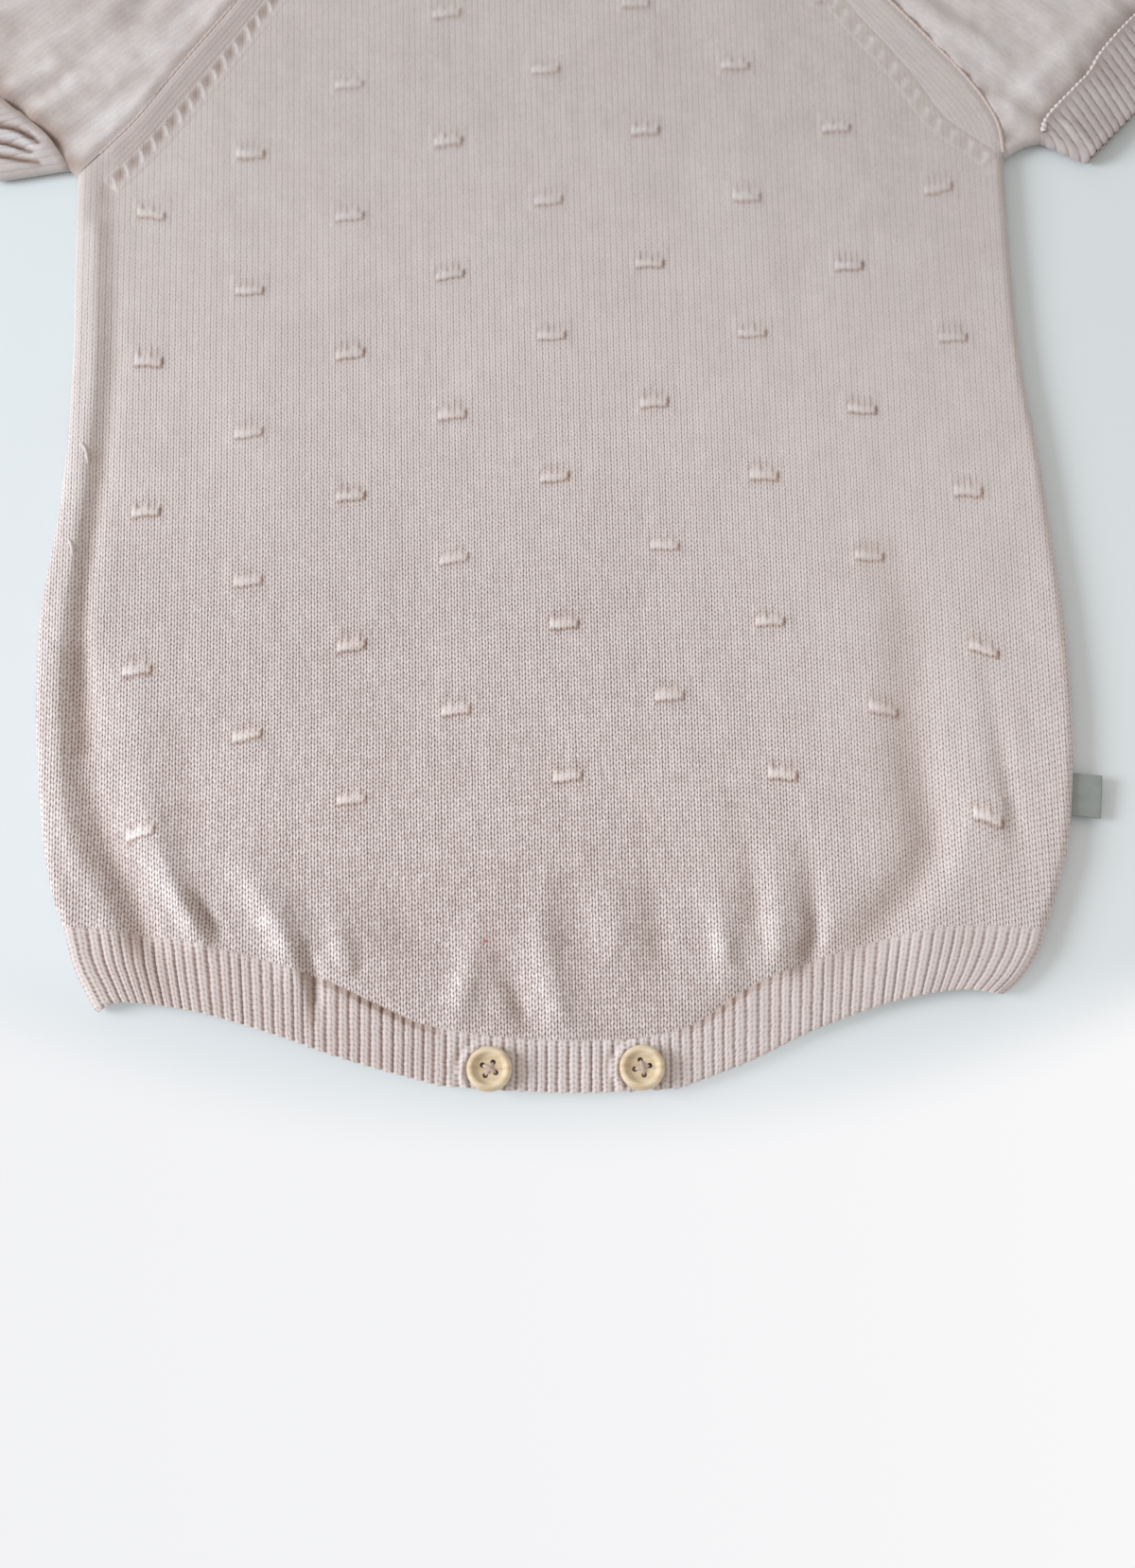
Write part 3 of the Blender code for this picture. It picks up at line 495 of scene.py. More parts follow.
def knit_plan(repeat, level):
    """Plan point of a place in the front's knit: repeats across, and height at the middle."""
    share = (KNIT_TOP_Y - level) / KNIT_SPAN
    x = KNIT_SHIFT[0] + KNIT_SHIFT[1] * share
    x = x + TUFT_REPEAT * repeat * (1 - KNIT_NARROWING * share)
    return x, level + course_rise(x, share)


def front_uv(grid):
    """Wales and courses at the front's plan points."""
    x, y = grid[..., 0], grid[..., 1]
    share = (KNIT_TOP_Y - y) / KNIT_SPAN
    level = y - course_rise(np.clip(x, -150, 150), share)
    share = (KNIT_TOP_Y - level) / KNIT_SPAN
    across = x - KNIT_SHIFT[0] - KNIT_SHIFT[1] * share
    wales = across / (1 - KNIT_NARROWING * share) / WALE
    return np.dstack([wales, level / COURSE])


def plain_uv(grid, direction):
    """Wales and courses where the wales run in one direction, given in degrees from +X."""
    turn = math.radians(direction)
    along = np.array((math.cos(turn), math.sin(turn)))
    across = np.array((math.sin(turn), -math.cos(turn)))
    return np.dstack([grid[..., :2] @ across / WALE, grid[..., :2] @ along / COURSE])


def rib_uv(grid, ribs):
    """Ribs across the columns, and courses from the seam, in the last row, to the free edge."""
    steps = np.linalg.norm(np.diff(grid, axis=0), axis=2)
    down = np.vstack([np.zeros(grid.shape[1]), np.cumsum(steps, axis=0)])
    return np.dstack([np.broadcast_to(ribs, down.shape), (down[-1] - down) / COURSE])


def rib_relief(ribs):
    """Height of the rib's section below its crown: a round wale and a narrow recess."""
    across = np.abs((ribs % 1.0) - 0.5) * 2
    return -RIB_DEPTH * (0.2 * across ** 2 + 0.8 * across ** 7)


# ---------------------------------------------------------------- meshes

class Grid:
    """Grid of points for a mesh. shade is painted shade and light: it darkens the cloth's colour where
    it is under 1 and lightens it where it is over 1. groove is how far the recesses between ribs
    are open, with their painted shade, and on jersey how deep the stitches and their painted gaps are."""

    def __init__(self, points, uv, closed=False, flip=False, shade=1.0, groove=1.0):
        self.points = points
        self.uv = uv
        self.closed = closed
        self.flip = flip
        self.values = {"shade": np.broadcast_to(shade, points.shape[:2]).reshape(-1),
                       "groove": np.broadcast_to(groove, points.shape[:2]).reshape(-1)}


def solid(name, points, faces, finish=None):
    """Object with a new mesh, from points in millimetres."""
    mesh = bpy.data.meshes.new(name)
    mesh.from_pydata((np.array(points, float) * MM).tolist(), [], faces)
    if finish:
        mesh.materials.append(finish)
    made = bpy.data.objects.new(name, mesh)
    bpy.context.scene.collection.objects.link(made)
    return made


def cloth(name, grids, finish, wall=0.0, node="", cut=None):
    """Wall of cloth through one or more grids. cut, the flat width, length and area, is not used."""
    corners, loops = [], []
    offset = 0
    for grid in grids:
        rows, columns = grid.points.shape[:2]
        index = np.arange(rows * columns).reshape(rows, columns) + offset
        if grid.closed:
            index = np.column_stack([index, index[:, 0]])
        turn = slice(None, None, -1 if grid.flip else 1)
        for table, chain in ((index[..., None], corners), (grid.uv, loops)):
            quads = np.stack([table[:-1, :-1], table[:-1, 1:], table[1:, 1:], table[1:, :-1]], 2)
            chain.append(quads.reshape(-1, 4, table.shape[-1])[:, turn])
        offset += rows * columns
    places = np.concatenate([grid.points.reshape(-1, 3) for grid in grids])
    quads = np.concatenate(corners)[..., 0]
    values = {key: np.concatenate([grid.values[key] for grid in grids]) for key in grids[0].values}
    if wall and len(grids) > 1:
        _, first, same = np.unique(np.round(places / WELD), axis=0, return_index=True,
                                   return_inverse=True)
        places = places[first]
        quads = same.reshape(-1)[quads]
        values = {key: chain[first] for key, chain in values.items()}
    made = solid(name, places, quads.tolist(), finish)
    mesh = made.data
    layer = mesh.uv_layers.new(name="knit")
    layer.data.foreach_set("uv", np.concatenate(loops).astype(np.float32).reshape(-1))
    for key, chain in values.items():
        attribute = mesh.attributes.new(key, "FLOAT", "POINT")
        attribute.data.foreach_set("value", chain.astype(np.float32))
    mesh.shade_smooth()
    if wall:
        sharpen_rim(mesh)
        thicken = made.modifiers.new("wall", "SOLIDIFY")
        thicken.thickness = wall * MM
        thicken.offset = -1.0
    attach(made, "root")
    if node:
        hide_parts(node)


def sharpen_rim(mesh):
    """Marks the open edges sharp, so that the wall's rim doesn't round the shading there."""
    edges = np.zeros(len(mesh.loops), int)
    mesh.loops.foreach_get("edge_index", edges)
    open_edges = np.bincount(edges, minlength=len(mesh.edges)) == 1
    mesh.attributes.new("sharp_edge", "BOOLEAN", "EDGE").data.foreach_set("value", open_edges)


def cut_size(plans):
    """Flat width, length and area of a piece: its runs laid side by side, columns across."""
    across = sum(np.linalg.norm(np.diff(plan, axis=1), axis=2).sum(axis=1).max() for plan in plans)
    down = max(np.linalg.norm(np.diff(plan, axis=0), axis=2).sum(axis=0).max() for plan in plans)
    area = 0.0
    for plan in plans:
        first = plan[1:, 1:] - plan[:-1, :-1]
        second = plan[1:, :-1] - plan[:-1, 1:]
        area += np.abs(first[..., 0] * second[..., 1] - first[..., 1] * second[..., 0]).sum() / 2
    return round(float(across)), round(float(down)), round(float(area))


def ridges(distance, table):
    """Height beside a line. Each row is a rise, its distance from the line and its half width."""
    return sum(rise * bell(distance - offset, half) for rise, offset, half in table)


# ---------------------------------------------------------------- finishes

# Knit: how far wales and courses wander, how deep its parts are, and its middle tone
WALE_WOBBLE = 0.34
COURSE_SWAY = 0.8
LANE_SCALE = (0.55, 0.05, 1.0)
GAP_DEPTH = 0.36
END_DEPTH = 0.16
DOT_DEPTH = 0.6
CHANCE_DEPTH = 0.22
TONE = 0.725
STRIPE_TONE = 0.12
CHANCE_TONE = 0.08
FIBRES = 2600.0
FIBRE_DEPTH = 0.22
# Heathered yarn, from slow drifts of tone to fine dapples: scale, detail and share
HEATHER = ((38.0, 3.0, 0.08), (900.0, 2.0, 0.14), (230.0, 2.0, 0.12))
JERSEY_CUT = {"leg": 0.25, "slant": 1.0, "inner": 0.8, "outer": 1.1}
RIB_CUT = {"leg": 0.21, "slant": 0.9, "inner": 0.6, "outer": 0.9}
RIB_CRISP = 0.55
# Painted shade in the recess between ribs: where it starts, how steep its edge is, its share and its
# colour
RECESS_START = 0.37
RECESS_STEEP = 11.0
RECESS_SHARE = 0.7
RECESS_SHADE_COLOUR = (0.34, 0.235, 0.21, 1.0)
SHADE_POWERS = (0.9, 1.2, 1.38)

# What changes up the garment or to its right: from and to, in metres, and the values there.
# The two tone factors are painted falloff of light: darker towards the top, which also balances
# the crisper stitches lower down, and darker towards the right
FINE = ((-0.06, 0.10), (1.0, 0.3))
SHARP = ((-0.02, 0.10), (2.2, 1.0))
PAINTED_LIGHT_UP = ((-0.12, 0.10), (1.13, 0.735))
PAINTED_LIGHT_RIGHT = ((0.03, 0.11), (1.0, 0.945))
CRISP_UP = ((-0.17, 0.09), (1.6, 0.32))
CRISP_RIGHT = ((0.02, 0.10), (1.0, 0.66))

# Pink speck in the jersey, with a blush round it: place, and reach of each
SPECK = {"place": (-17.5 * MM, -164.2 * MM, 5.5 * MM), "blush": 9 * MM, "dot": 0.55 * MM}
BLUSH_COLOUR = (0.62, 0.36, 0.36, 1.0)
DOT_COLOUR = (0.45, 0.06, 0.09, 1.0)

# Wood, woven tape and floor
GRAIN_SCALE = (60.0, 420.0, 60.0)
GRAIN_TURN = 0.35
WOOD_RAMP = ((0.35, (0.53, 0.39, 0.235, 1.0)), (0.72, (0.745, 0.635, 0.455, 1.0)))
WEFT_PITCH = 0.32
WARP_PITCH = 0.42
TAPE_COLOURS = ((0.235, 0.26, 0.25, 1.0), (0.35, 0.375, 0.36, 1.0))
# Floor colours: painted light, whiter in front of the garment and greyer behind it, and a painted glow
# in front of it that makes shadows faint there
FLOOR_FRONT = ((0.83, 0.835, 0.855, 1.0), (0.95, 0.955, 0.965, 1.0))
FLOOR_BACK = ((0.715, 0.765, 0.785, 1.0), (0.66, 0.72, 0.735, 1.0))
FLOOR_BEND = 1.25
FLOOR_EDGE = (-0.228, -0.198)
PAINTED_GLOW_EDGE = (-0.20, -0.168)
PAINTED_GLOW_BEND = -0.3
PAINTED_FLOOR_GLOW = 0.6


class Value:
    """Output of a material's node, open to plain arithmetic."""

    def __init__(self, tree, socket):
        self.tree = tree
        self.socket = socket

    def __add__(self, other):
        return self.tree.math("ADD", self, other)

    def __sub__(self, other):
        return self.tree.math("SUBTRACT", self, other)

    def __rsub__(self, other):
        return self.tree.math("SUBTRACT", other, self)

    def __mul__(self, other):
        return self.tree.math("MULTIPLY", self, other)

    def __pow__(self, other):
        return self.tree.math("POWER", self, other)


class Tree:
    """Short way to write a material's nodes."""

    def __init__(self, name, **settings):
        self.material = bpy.data.materials.new(name)
        self.material.use_nodes = True
        self.nodes = self.material.node_tree.nodes
        self.links = self.material.node_tree.links
        self.shader = self.nodes["Principled BSDF"]
        self.place = self.value(self.nodes.new("ShaderNodeTexCoord").outputs["Object"])
        self.shade(settings)

    def value(self, socket):
        return Value(self, socket)

    def put(self, socket, value):
        if isinstance(value, Value):
            self.links.new(value.socket, socket)
        else:
            socket.default_value = value

    def shade(self, values):
        """Sets or links the shader's inputs, with their names' words joined by an underscore."""
        for name, value in values.items():
            self.put(self.shader.inputs[name.replace("_", " ")], value)

    def node(self, kind, inputs=None, output=0, **settings):
        made = self.nodes.new(kind)
        for name, value in settings.items():
            setattr(made, name, value)
        for name, value in (inputs or {}).items():
            self.put(made.inputs[name], value)
        return self.value(made.outputs[output])

    def math(self, operation, *values, clamp=False):
        return self.node("ShaderNodeMath", dict(enumerate(values)), operation=operation,
                         use_clamp=clamp)

    def mix(self, factor, low, high, blend="MIX"):
        return self.node("ShaderNodeMix", {"Factor": factor, "A": low, "B": high}, "Result",
                         data_type="RGBA", blend_type=blend)

    def ramp(self, value, span, ends, **settings):
        """Value carried from one span to another, and held at its ends."""
        inputs = {"Value": value, "From Min": span[0], "From Max": span[1], "To Min": ends[0],
                  "To Max": ends[1]}
        return self.node("ShaderNodeMapRange", inputs, **settings)

    def noise(self, vector, scale, detail=2.0):
        inputs = {"Vector": vector, "Scale": scale, "Detail": detail}
        return self.node("ShaderNodeTexNoise", inputs, "Fac")

    def split(self, vector):
        outputs = self.node("ShaderNodeSeparateXYZ", {0: vector}).socket.node.outputs
        return [self.value(socket) for socket in outputs]

    def join(self, *values):
        return self.node("ShaderNodeCombineXYZ", dict(enumerate(values)))

    def attribute(self, name):
        return self.node("ShaderNodeAttribute", None, "Fac", attribute_name=name)

    def bump(self, strength, depth, height):
        """Bump, its depth in millimetres."""
        inputs = {"Strength": strength, "Distance": depth * MM, "Height": height}
        self.shade({"Normal": self.node("ShaderNodeBump", inputs)})


def knit_material(name, yarn, gap, cut, ribbed):
    """Stocking stitch in wale and course units: slanted legs of yarn, with painted shade in the gaps
    between them. In rib the wale takes the crown and leaves a recess."""
    tree = Tree(name, Specular_IOR_Level=0.2, Sheen_Weight=0.12, Sheen_Roughness=0.5)
    uv = tree.node("ShaderNodeUVMap", uv_map="knit")
    across, along = tree.split(tree.place)[:2]
    u, v = tree.split(uv)[:2]
    u = u + (tree.noise(uv, 0.7, 3.0) - 0.5) * WALE_WOBBLE
    v = v + (tree.noise(uv, 0.23, 1.0) - 0.5) * COURSE_SWAY
    from_middle = tree.math("ABSOLUTE", tree.math("FRACT", u) - 0.5)
    course = v - from_middle * cut["slant"]
    leg = tree.math("SINE", tree.math("FRACT", course) * math.pi)
    off = (from_middle - cut["leg"]) * (1 / cut["leg"])
    off = tree.math("MINIMUM", tree.math("ABSOLUTE", off), 1.0)
    # The gap between two wales is deeper than the one between a stitch's own legs
    outer = tree.math("GREATER_THAN", from_middle, cut["leg"])
    fine = tree.ramp(along, *FINE)
    weight = tree.ramp(outer, (0.0, 1.0), (fine * cut["inner"], cut["outer"]))
    gaps = off ** tree.ramp(along, *SHARP) * weight
    ends = (1.0 - leg) ** 1.5
    lane = tree.node("ShaderNodeMapping", {"Vector": uv, "Scale": LANE_SCALE})
    # One value for each leg of each stitch, so that no two stitches are quite alike
    cell = tree.join(tree.math("FLOOR", u * 2.0), tree.math("FLOOR", course))
    chance = tree.node("ShaderNodeTexWhiteNoise", {"Vector": cell})
    other = tree.split(tree.value(chance.socket.node.outputs["Color"]))[1]
    dots = gaps * ends * (other * 1.1 + 0.4) * fine
    ends = ends * fine
    gaps = gaps * (tree.noise(lane, 1.3) + 0.5)
    low = gaps * GAP_DEPTH + ends * END_DEPTH + dots * DOT_DEPTH + chance * CHANCE_DEPTH
    groove = tree.attribute("groove")
    if not ribbed:
        low = low * groove
    fibre = tree.noise(tree.place, FIBRES)
    height = fibre * FIBRE_DEPTH - low
    # Colour: heathered yarn with slow random drifts of tone, painted shade in the gaps, and a painted
    # falloff of light
    tone = tree.noise(lane, 1.0) * STRIPE_TONE + chance * CHANCE_TONE + TONE
    for scale, detail, share in HEATHER:
        tone = tree.noise(tree.place, scale, detail) * share + tone
    # Painted falloff of light: darker towards the top and towards the right
    tone = tone * tree.ramp(along, *PAINTED_LIGHT_UP) * tree.ramp(across, *PAINTED_LIGHT_RIGHT)
    crisp = tree.ramp(along, *CRISP_UP) * tree.ramp(across, *CRISP_RIGHT)
    if ribbed:
        crisp = crisp * RIB_CRISP
    colour = tree.mix(tree.math("MULTIPLY", low, crisp, clamp=True), (*yarn, 1.0), (*gap, 1.0))
    if ribbed:
        # Painted shade in the recess between ribs
        recess = tree.math("MULTIPLY", from_middle - RECESS_START, RECESS_STEEP, clamp=True) * groove
        colour = tree.mix(recess * RECESS_SHARE, colour, RECESS_SHADE_COLOUR)
    # The shade attribute paints shade and light into the colour: shaded places turn browner, as light
    # bounces in the yarn
    shade = tree.attribute("shade")
    tints = tree.join(*[tone * shade ** power for power in SHADE_POWERS])
    colour = tree.mix(1.0, colour, tints, "MULTIPLY")
    if not ribbed:
        spot = tree.node("ShaderNodeVectorMath", {0: tree.place, 1: SPECK["place"]}, "Value",
                         operation="DISTANCE")
        blush = tree.math("SUBTRACT", 1.0, tree.math("DIVIDE", spot, SPECK["blush"]), clamp=True)
        colour = tree.mix(blush * 0.16, colour, BLUSH_COLOUR)
        dot = tree.math("LESS_THAN", spot, SPECK["dot"])
        colour = tree.mix(dot * 0.75, colour, DOT_COLOUR)
    tree.shade({"Base Color": colour, "Roughness": fibre * 0.12 + 0.84})
    tree.bump(tree.math("MINIMUM", crisp * 0.9, 1.0), 0.4, height)
    return tree.material


def yarn_material(name, colour):
    """Loose yarn, for linking and sewing thread."""
    tree = Tree(name, Sheen_Weight=0.1)
    twist = tree.noise(tree.place, 1800.0, 3.0)
    tone = twist * 0.35 + 0.80
    tree.shade({"Base Color": tree.mix(1.0, (*colour, 1.0), tree.join(tone, tone, tone), "MULTIPLY"),
                "Roughness": twist * 0.1 + 0.85})
    tree.bump(0.8, 0.15, twist)
    return tree.material


def wood_material(name):
    """Pale turned wood with fine grain lines and a satin finish."""
    tree = Tree(name)
    stretched = tree.node("ShaderNodeMapping", {"Vector": tree.place, "Scale": GRAIN_SCALE,
                                                "Rotation": (0.0, 0.0, GRAIN_TURN)})
    grain = tree.noise(stretched, 1.6, 4.0)
    cloud = tree.noise(tree.place, 160.0)
    pores = tree.noise(tree.place, 2400.0)
    colour = tree.node("ShaderNodeValToRGB", {"Fac": grain * 0.75 + cloud * 0.35})
    for element, (place, shade) in zip(colour.socket.node.color_ramp.elements, WOOD_RAMP):
        element.position = place
        element.color = shade
    tree.shade({"Base Color": colour, "Roughness": pores * 0.2 + 0.42})
    tree.bump(0.35, 0.08, grain + pores)
    return tree.material


def label_material(name):
    """Grey-green woven tape: fine warp and weft."""
    tree = Tree(name)
    across, along = tree.split(tree.place)[:2]
    weft, warp = [tree.math("SINE", place * (2 * math.pi / (pitch * MM)))
                  for place, pitch in ((along, WEFT_PITCH), (across, WARP_PITCH))]
    weave = weft * warp
    cloud = tree.noise(tree.place, 260.0, 3.0)
    blend = tree.math("ADD", weave * 0.18, cloud, clamp=True)
    tree.shade({"Base Color": tree.mix(blend, *TAPE_COLOURS), "Roughness": cloud * 0.2 + 0.62})
    tree.bump(0.5, 0.08, weave)
    return tree.material


def floor_material(name):
    """Plain matt floor, cool and pale, with painted light: it is whiter in front of the garment and
    greyer further back, and in front it also glows, so that shadows are faint there."""
    tree = Tree(name, Roughness=0.8, Specular_IOR_Level=0.2)
    across, along = tree.split(tree.place)[:2]
    bend = tree.math("ABSOLUTE", across) ** 2.0 * FLOOR_BEND
    share = tree.ramp(along - bend, FLOOR_EDGE, (0.0, 1.0), interpolation_type="SMOOTHSTEP")
    front = tree.mix(tree.ramp(across, (-0.18, 0.18), (0.0, 1.0)), *FLOOR_FRONT)
    back = tree.mix(tree.ramp(along, (-0.15, 0.14), (0.0, 1.0)), *FLOOR_BACK)
    painted_glow = tree.ramp(along + bend * PAINTED_GLOW_BEND, PAINTED_GLOW_EDGE, (PAINTED_FLOOR_GLOW, 0.0),
                     interpolation_type="SMOOTHSTEP")
    colour = tree.mix(share, front, back)
    tree.shade({"Base Color": tree.mix(painted_glow, colour, (0.0, 0.0, 0.0, 1.0)),
                "Emission Color": colour, "Emission Strength": painted_glow})
    return tree.material


# The second colour of each knit is the painted shade in its gaps
jersey = knit_material("jersey_knit", (0.72, 0.66, 0.64), (0.255, 0.18, 0.163), JERSEY_CUT, False)
rib = knit_material("rib_knit", (0.64, 0.585, 0.572), (0.33, 0.26, 0.24), RIB_CUT, True)
light_yarn = yarn_material("light_yarn", (0.64, 0.575, 0.555))
# The seam yarn is darker than the jersey's yarn: painted shade for the raglan seams' grooves
seam_yarn = yarn_material("seam_yarn", (0.52, 0.43, 0.40))
sewing_yarn = yarn_material("sewing_yarn", (0.60, 0.47, 0.42))
wood = wood_material("turned_wood")
label_tape = label_material("woven_tape")


# ---------------------------------------------------------------- body

def seam_line():
    """Left side seam, on the front face from the band join to the raglan seam."""
    line = side_left + (SIDE_SEAM_INSET, 0)
    line[0] = at(join, [SIDE_SEAM_INSET])[0]
    line[-1] = at(raglans["left", "front"], [SEAM_START])[0]
    return line


left_seam = seam_line()
left_valley = curve(FRONT_CREASES[1][3])
front_raglans = [raglans["left", "front"], raglans["right", "front"]]
mark_lines = {"left": curve(LEFT_MARKS), "right": curve(RIGHT_MARKS)}
neck_front, neck_back = [oval(NECK_SEAM, side, np.linspace(math.pi - angle, angle, 60))
                         for side, angle in RAGLAN_ANGLES.items()]


def curving(points):
    """Where along the band the leg openings curve most, up to 1."""
    return sum(share * bell(points[..., 0] - x, half) for x, half, share in LEG_CURVES)


def join_dip(points):
    """The jersey stands a little above the band where the leg openings curve most."""
    return -JOIN_DROP * curving(points) * bell(near(points, [join]), JOIN_REACH)


def join_shade(points, ribs):
    """Painted shade of the step below that edge of the jersey, darkest in the recesses between the
    ribs.
    """
    below = near(points.reshape(-1, 2), [join]).reshape(points.shape[:2])
    gap = (np.abs(ribs % 1.0 - 0.5) * 2) ** 1.5
    crown, recess = JOIN_GAP_SHADE
    return curving(points) * ridges(below, JOIN_SHADE) * (crown + recess * gap)


def fold_shade(points, table):
    """Painted shade and light: the cloth is a little darker in the folds and lighter on the ridges,
    lighter on slopes that face the window and darker on those that face away, and darker along the
    left side seam and the valley beside it.
    """
    flat = points.reshape(-1, 2)
    narrow = [row for row in table if row[0] < BROAD_CREASE]
    slope = creases(flat + SLOPE_REACH, narrow) - creases(flat - SLOPE_REACH, narrow)
    shade = 1 + FOLD_LIGHT * creases(flat, narrow) + SLOPE_LIGHT * slope + dappled(flat, SHADE_DAPPLE)
    start, span = SIDE_SHADE_START
    shade += ridges(near(flat, [left_seam]), SIDE_SHADE) * smooth((flat[:, 1] - start) / span)
    shade += ridges(near(flat, [left_valley]), VALLEY_SHADE)
    return np.clip(shade, *SHADE_LIMITS).reshape(points.shape[:2])


def front_relief(points):
    """Creases and seams of the front panel and of the strip beside it."""
    seams = ridges(near(points, front_raglans + [neck_front]), SEAM_RIDGES)
    seams += ridges(near(points, list(mark_lines.values())), MARK_RIDGES)
    height = creases(points, FRONT_CREASES) + np.where(points[:, 0] < 0, *FIRM) * seams
    return height + dappled(points, FRONT_DAPPLE) + join_dip(points)


def tuft_places():
    """Middle of every tuft that lies well inside the front panel."""
    rim = front_raglans + [neck_front, left_seam, side_right, join]
    places = []
    for row in range(TUFT_ROWS):
        for half in range(-5, 6):
            if (half + row) % 2 == 0:
                places.append(knit_plan(half / 2, TUFT_TOP - TUFT_ROW_PITCH * row))
    places = np.array(places)
    x, y = places.T / 100
    steady = 1 - smooth((DRIFT_END[0] - places[:, 1]) / DRIFT_END[1])
    places[:, 0] += np.array(TUFT_DRIFT) @ (np.ones_like(x), x, y, x * y) * steady
    places[:, 1] += TUFT_CLIMB * np.maximum(x, 0) * np.maximum(y, 0)
    inside = places[:, 1] < TUFT_LIMIT[1] + ridges(places[:, 0], NECK_LIMIT)
    inside &= np.abs(places[:, 0]) < TUFT_LIMIT[0]
    inside &= near(places, rim) > TUFT_MARGIN
    for line, sign in ((front_raglans[0], 1), (front_raglans[1], -1)):
        limit = np.interp(places[:, 1], line[:, 1], line[:, 0], left=-999 * sign)
        inside &= (places[:, 0] - limit) * sign > 0
    return places[inside]


tufts = tuft_places()


def side_rows(line, cell):
    return at_shares(line, np.linspace(0, 1, int(length(side_left) / cell) + 1))


def front_panel():
    """Front, from the left side seam on its face to the folded right side."""
    left_raglan, right_raglan = front_raglans
    up = int(length(left_raglan) / FRONT_CELL)
    rest = np.linspace(SEAM_START, length(left_raglan), up + 1)[1:]
    left = np.vstack([side_rows(left_seam, FRONT_CELL), at(left_raglan, rest)])
    right = np.vstack([side_rows(side_right, FRONT_CELL),
                       at_shares(right_raglan, np.linspace(0, 1, up + 1))[1:]])
    span = length(join) - SIDE_SEAM_INSET
    distances = spaced(span, FRONT_CELL, fine_end=True)
    shares = distances / span
    plan = patch(at(join, distances + SIDE_SEAM_INSET), at_shares(neck_front, shares), left, right,
                 shares)
    grid = Grid(raised(plan, 1, front_relief), front_uv(plan), shade=fold_shade(plan, FRONT_CREASES))
    cloth("front_jersey", [grid], jersey, JERSEY_WALL, "front_panel", cut_size([plan]))


def back_relief(points):
    return creases(points, BACK_CREASES)


def back_panel():
    """Back, flat on the surface, and the strip that wraps over the left fold to the seam."""
    up = int(length(raglans["left", "back"]) / BACK_CELL)
    steps = np.linspace(0, 1, up + 1)[1:]
    left, right = [np.vstack([side_rows(side, BACK_CELL), at_shares(raglans[hand, "back"], steps)])
                   for hand, side in (("left", side_left), ("right", side_right))]
    distances = spaced(length(join), BACK_CELL, fine_start=True, fine_end=True)
    shares = distances / length(join)
    plan = patch(at(join, distances), at_shares(neck_back, shares), left, right, shares)
    under = raised(plan, -1, back_relief)
    rows = len(side_rows(side_left, BACK_CELL))
    across = np.append(ROLL_STEPS, np.linspace(ROLL_REACH, SIDE_SEAM_INSET, 6)[1:]) / SIDE_SEAM_INSET
    sewn = at_shares(left_seam, np.linspace(0, 1, rows))
    strip = between(plan[:rows, :1], sewn[:, None], across[:, None])
    wrap = raised(strip, 1, front_relief)
    wrap[:, 0] = under[:rows, 0]
    grids = [Grid(under, plain_uv(plan, BACK_WALES), flip=True),
             Grid(wrap, front_uv(strip), shade=fold_shade(strip, FRONT_CREASES))]
    cloth("back_jersey", grids, jersey, JERSEY_WALL, "back_panel", cut_size([plan, strip]))


front_panel()
back_panel()


# ---------------------------------------------------------------- sleeves

SLEEVE_CELL = 1.8
SLEEVE_ROWS = 60
SLEEVE_CROWDING = 1.35
SLEEVE_WALES = {"left": 43.0, "right": 141.0}
SEAM_SHADE = {"left": 0.4, "right": 0.16}
SLEEVE_STITCH = 0.5
SLEEVE_LIGHT = {"left": 0.0, "right": 0.07}
SLEEVE_FOLD_LIGHT = 0.05
# The sleeves' mottled painted shade and light fades out from this height, over this span
MOTTLE_FADE = (125.0, 40.0)
MOTTLE_LOSS = 0.7
# Rows for ridges() and dappled(): relief, and painted shade and light, of the sleeves
RAGLAN_RIDGES = {"left": ((0.5, 2.8, 1.9), (-0.2, 0.0, 0.9)),
                 "right": ((0.1, 2.8, 1.9), (-0.4, 0.0, 0.9))}
CUFF_RIDGES = ((-0.7, 0.0, 1.5),)
STREAK_SHARES = (0.3, 0.75)
STREAKS = ((6.0, 4, 0.75),)
SLEEVE_DAPPLE = ((3.6, 5, 0.14),)
MOTTLE_STREAKS = ((6.0, 9, 2.0),)
MOTTLE_SPOTS = ((4.4, 6, 1.0),)
RAGLAN_SHADE = {"left": ((0.08, 7.5, 6.0), (-0.08, 0.6, 1.4)), "right": ((-0.05, 0.6, 1.4),)}
MOTTLED_SHADE = {"left": 0.07, "right": 0.04}


def head(hand, side):
    """Sleeve's upper edge: up the raglan seam, then along the neck to the shoulder fold."""
    turns = RAGLAN_ANGLES[side] * np.linspace(1, 0, 12)[1:]
    arc = oval(NECK_SEAM, side, math.pi - turns if hand == "left" else turns)
    return np.vstack([raglans[hand, side], arc])


def dents(points):
    """How deep a point is in one of the dents beside the right raglan seam, up to 1."""
    spots = np.array(SEAM_DENTS) + DENT_OFFSET
    return np.max([bell(np.hypot(*(points - spot).T), DENT_SIZE) for spot in spots], axis=0)


def streaky(points):
    """Plan points turned and squeezed, so that dapple on them is drawn out along the sleeves."""
    outward = -np.abs(points[:, 0])
    return np.column_stack([outward + points[:, 1], outward - points[:, 1]]) * STREAK_SHARES


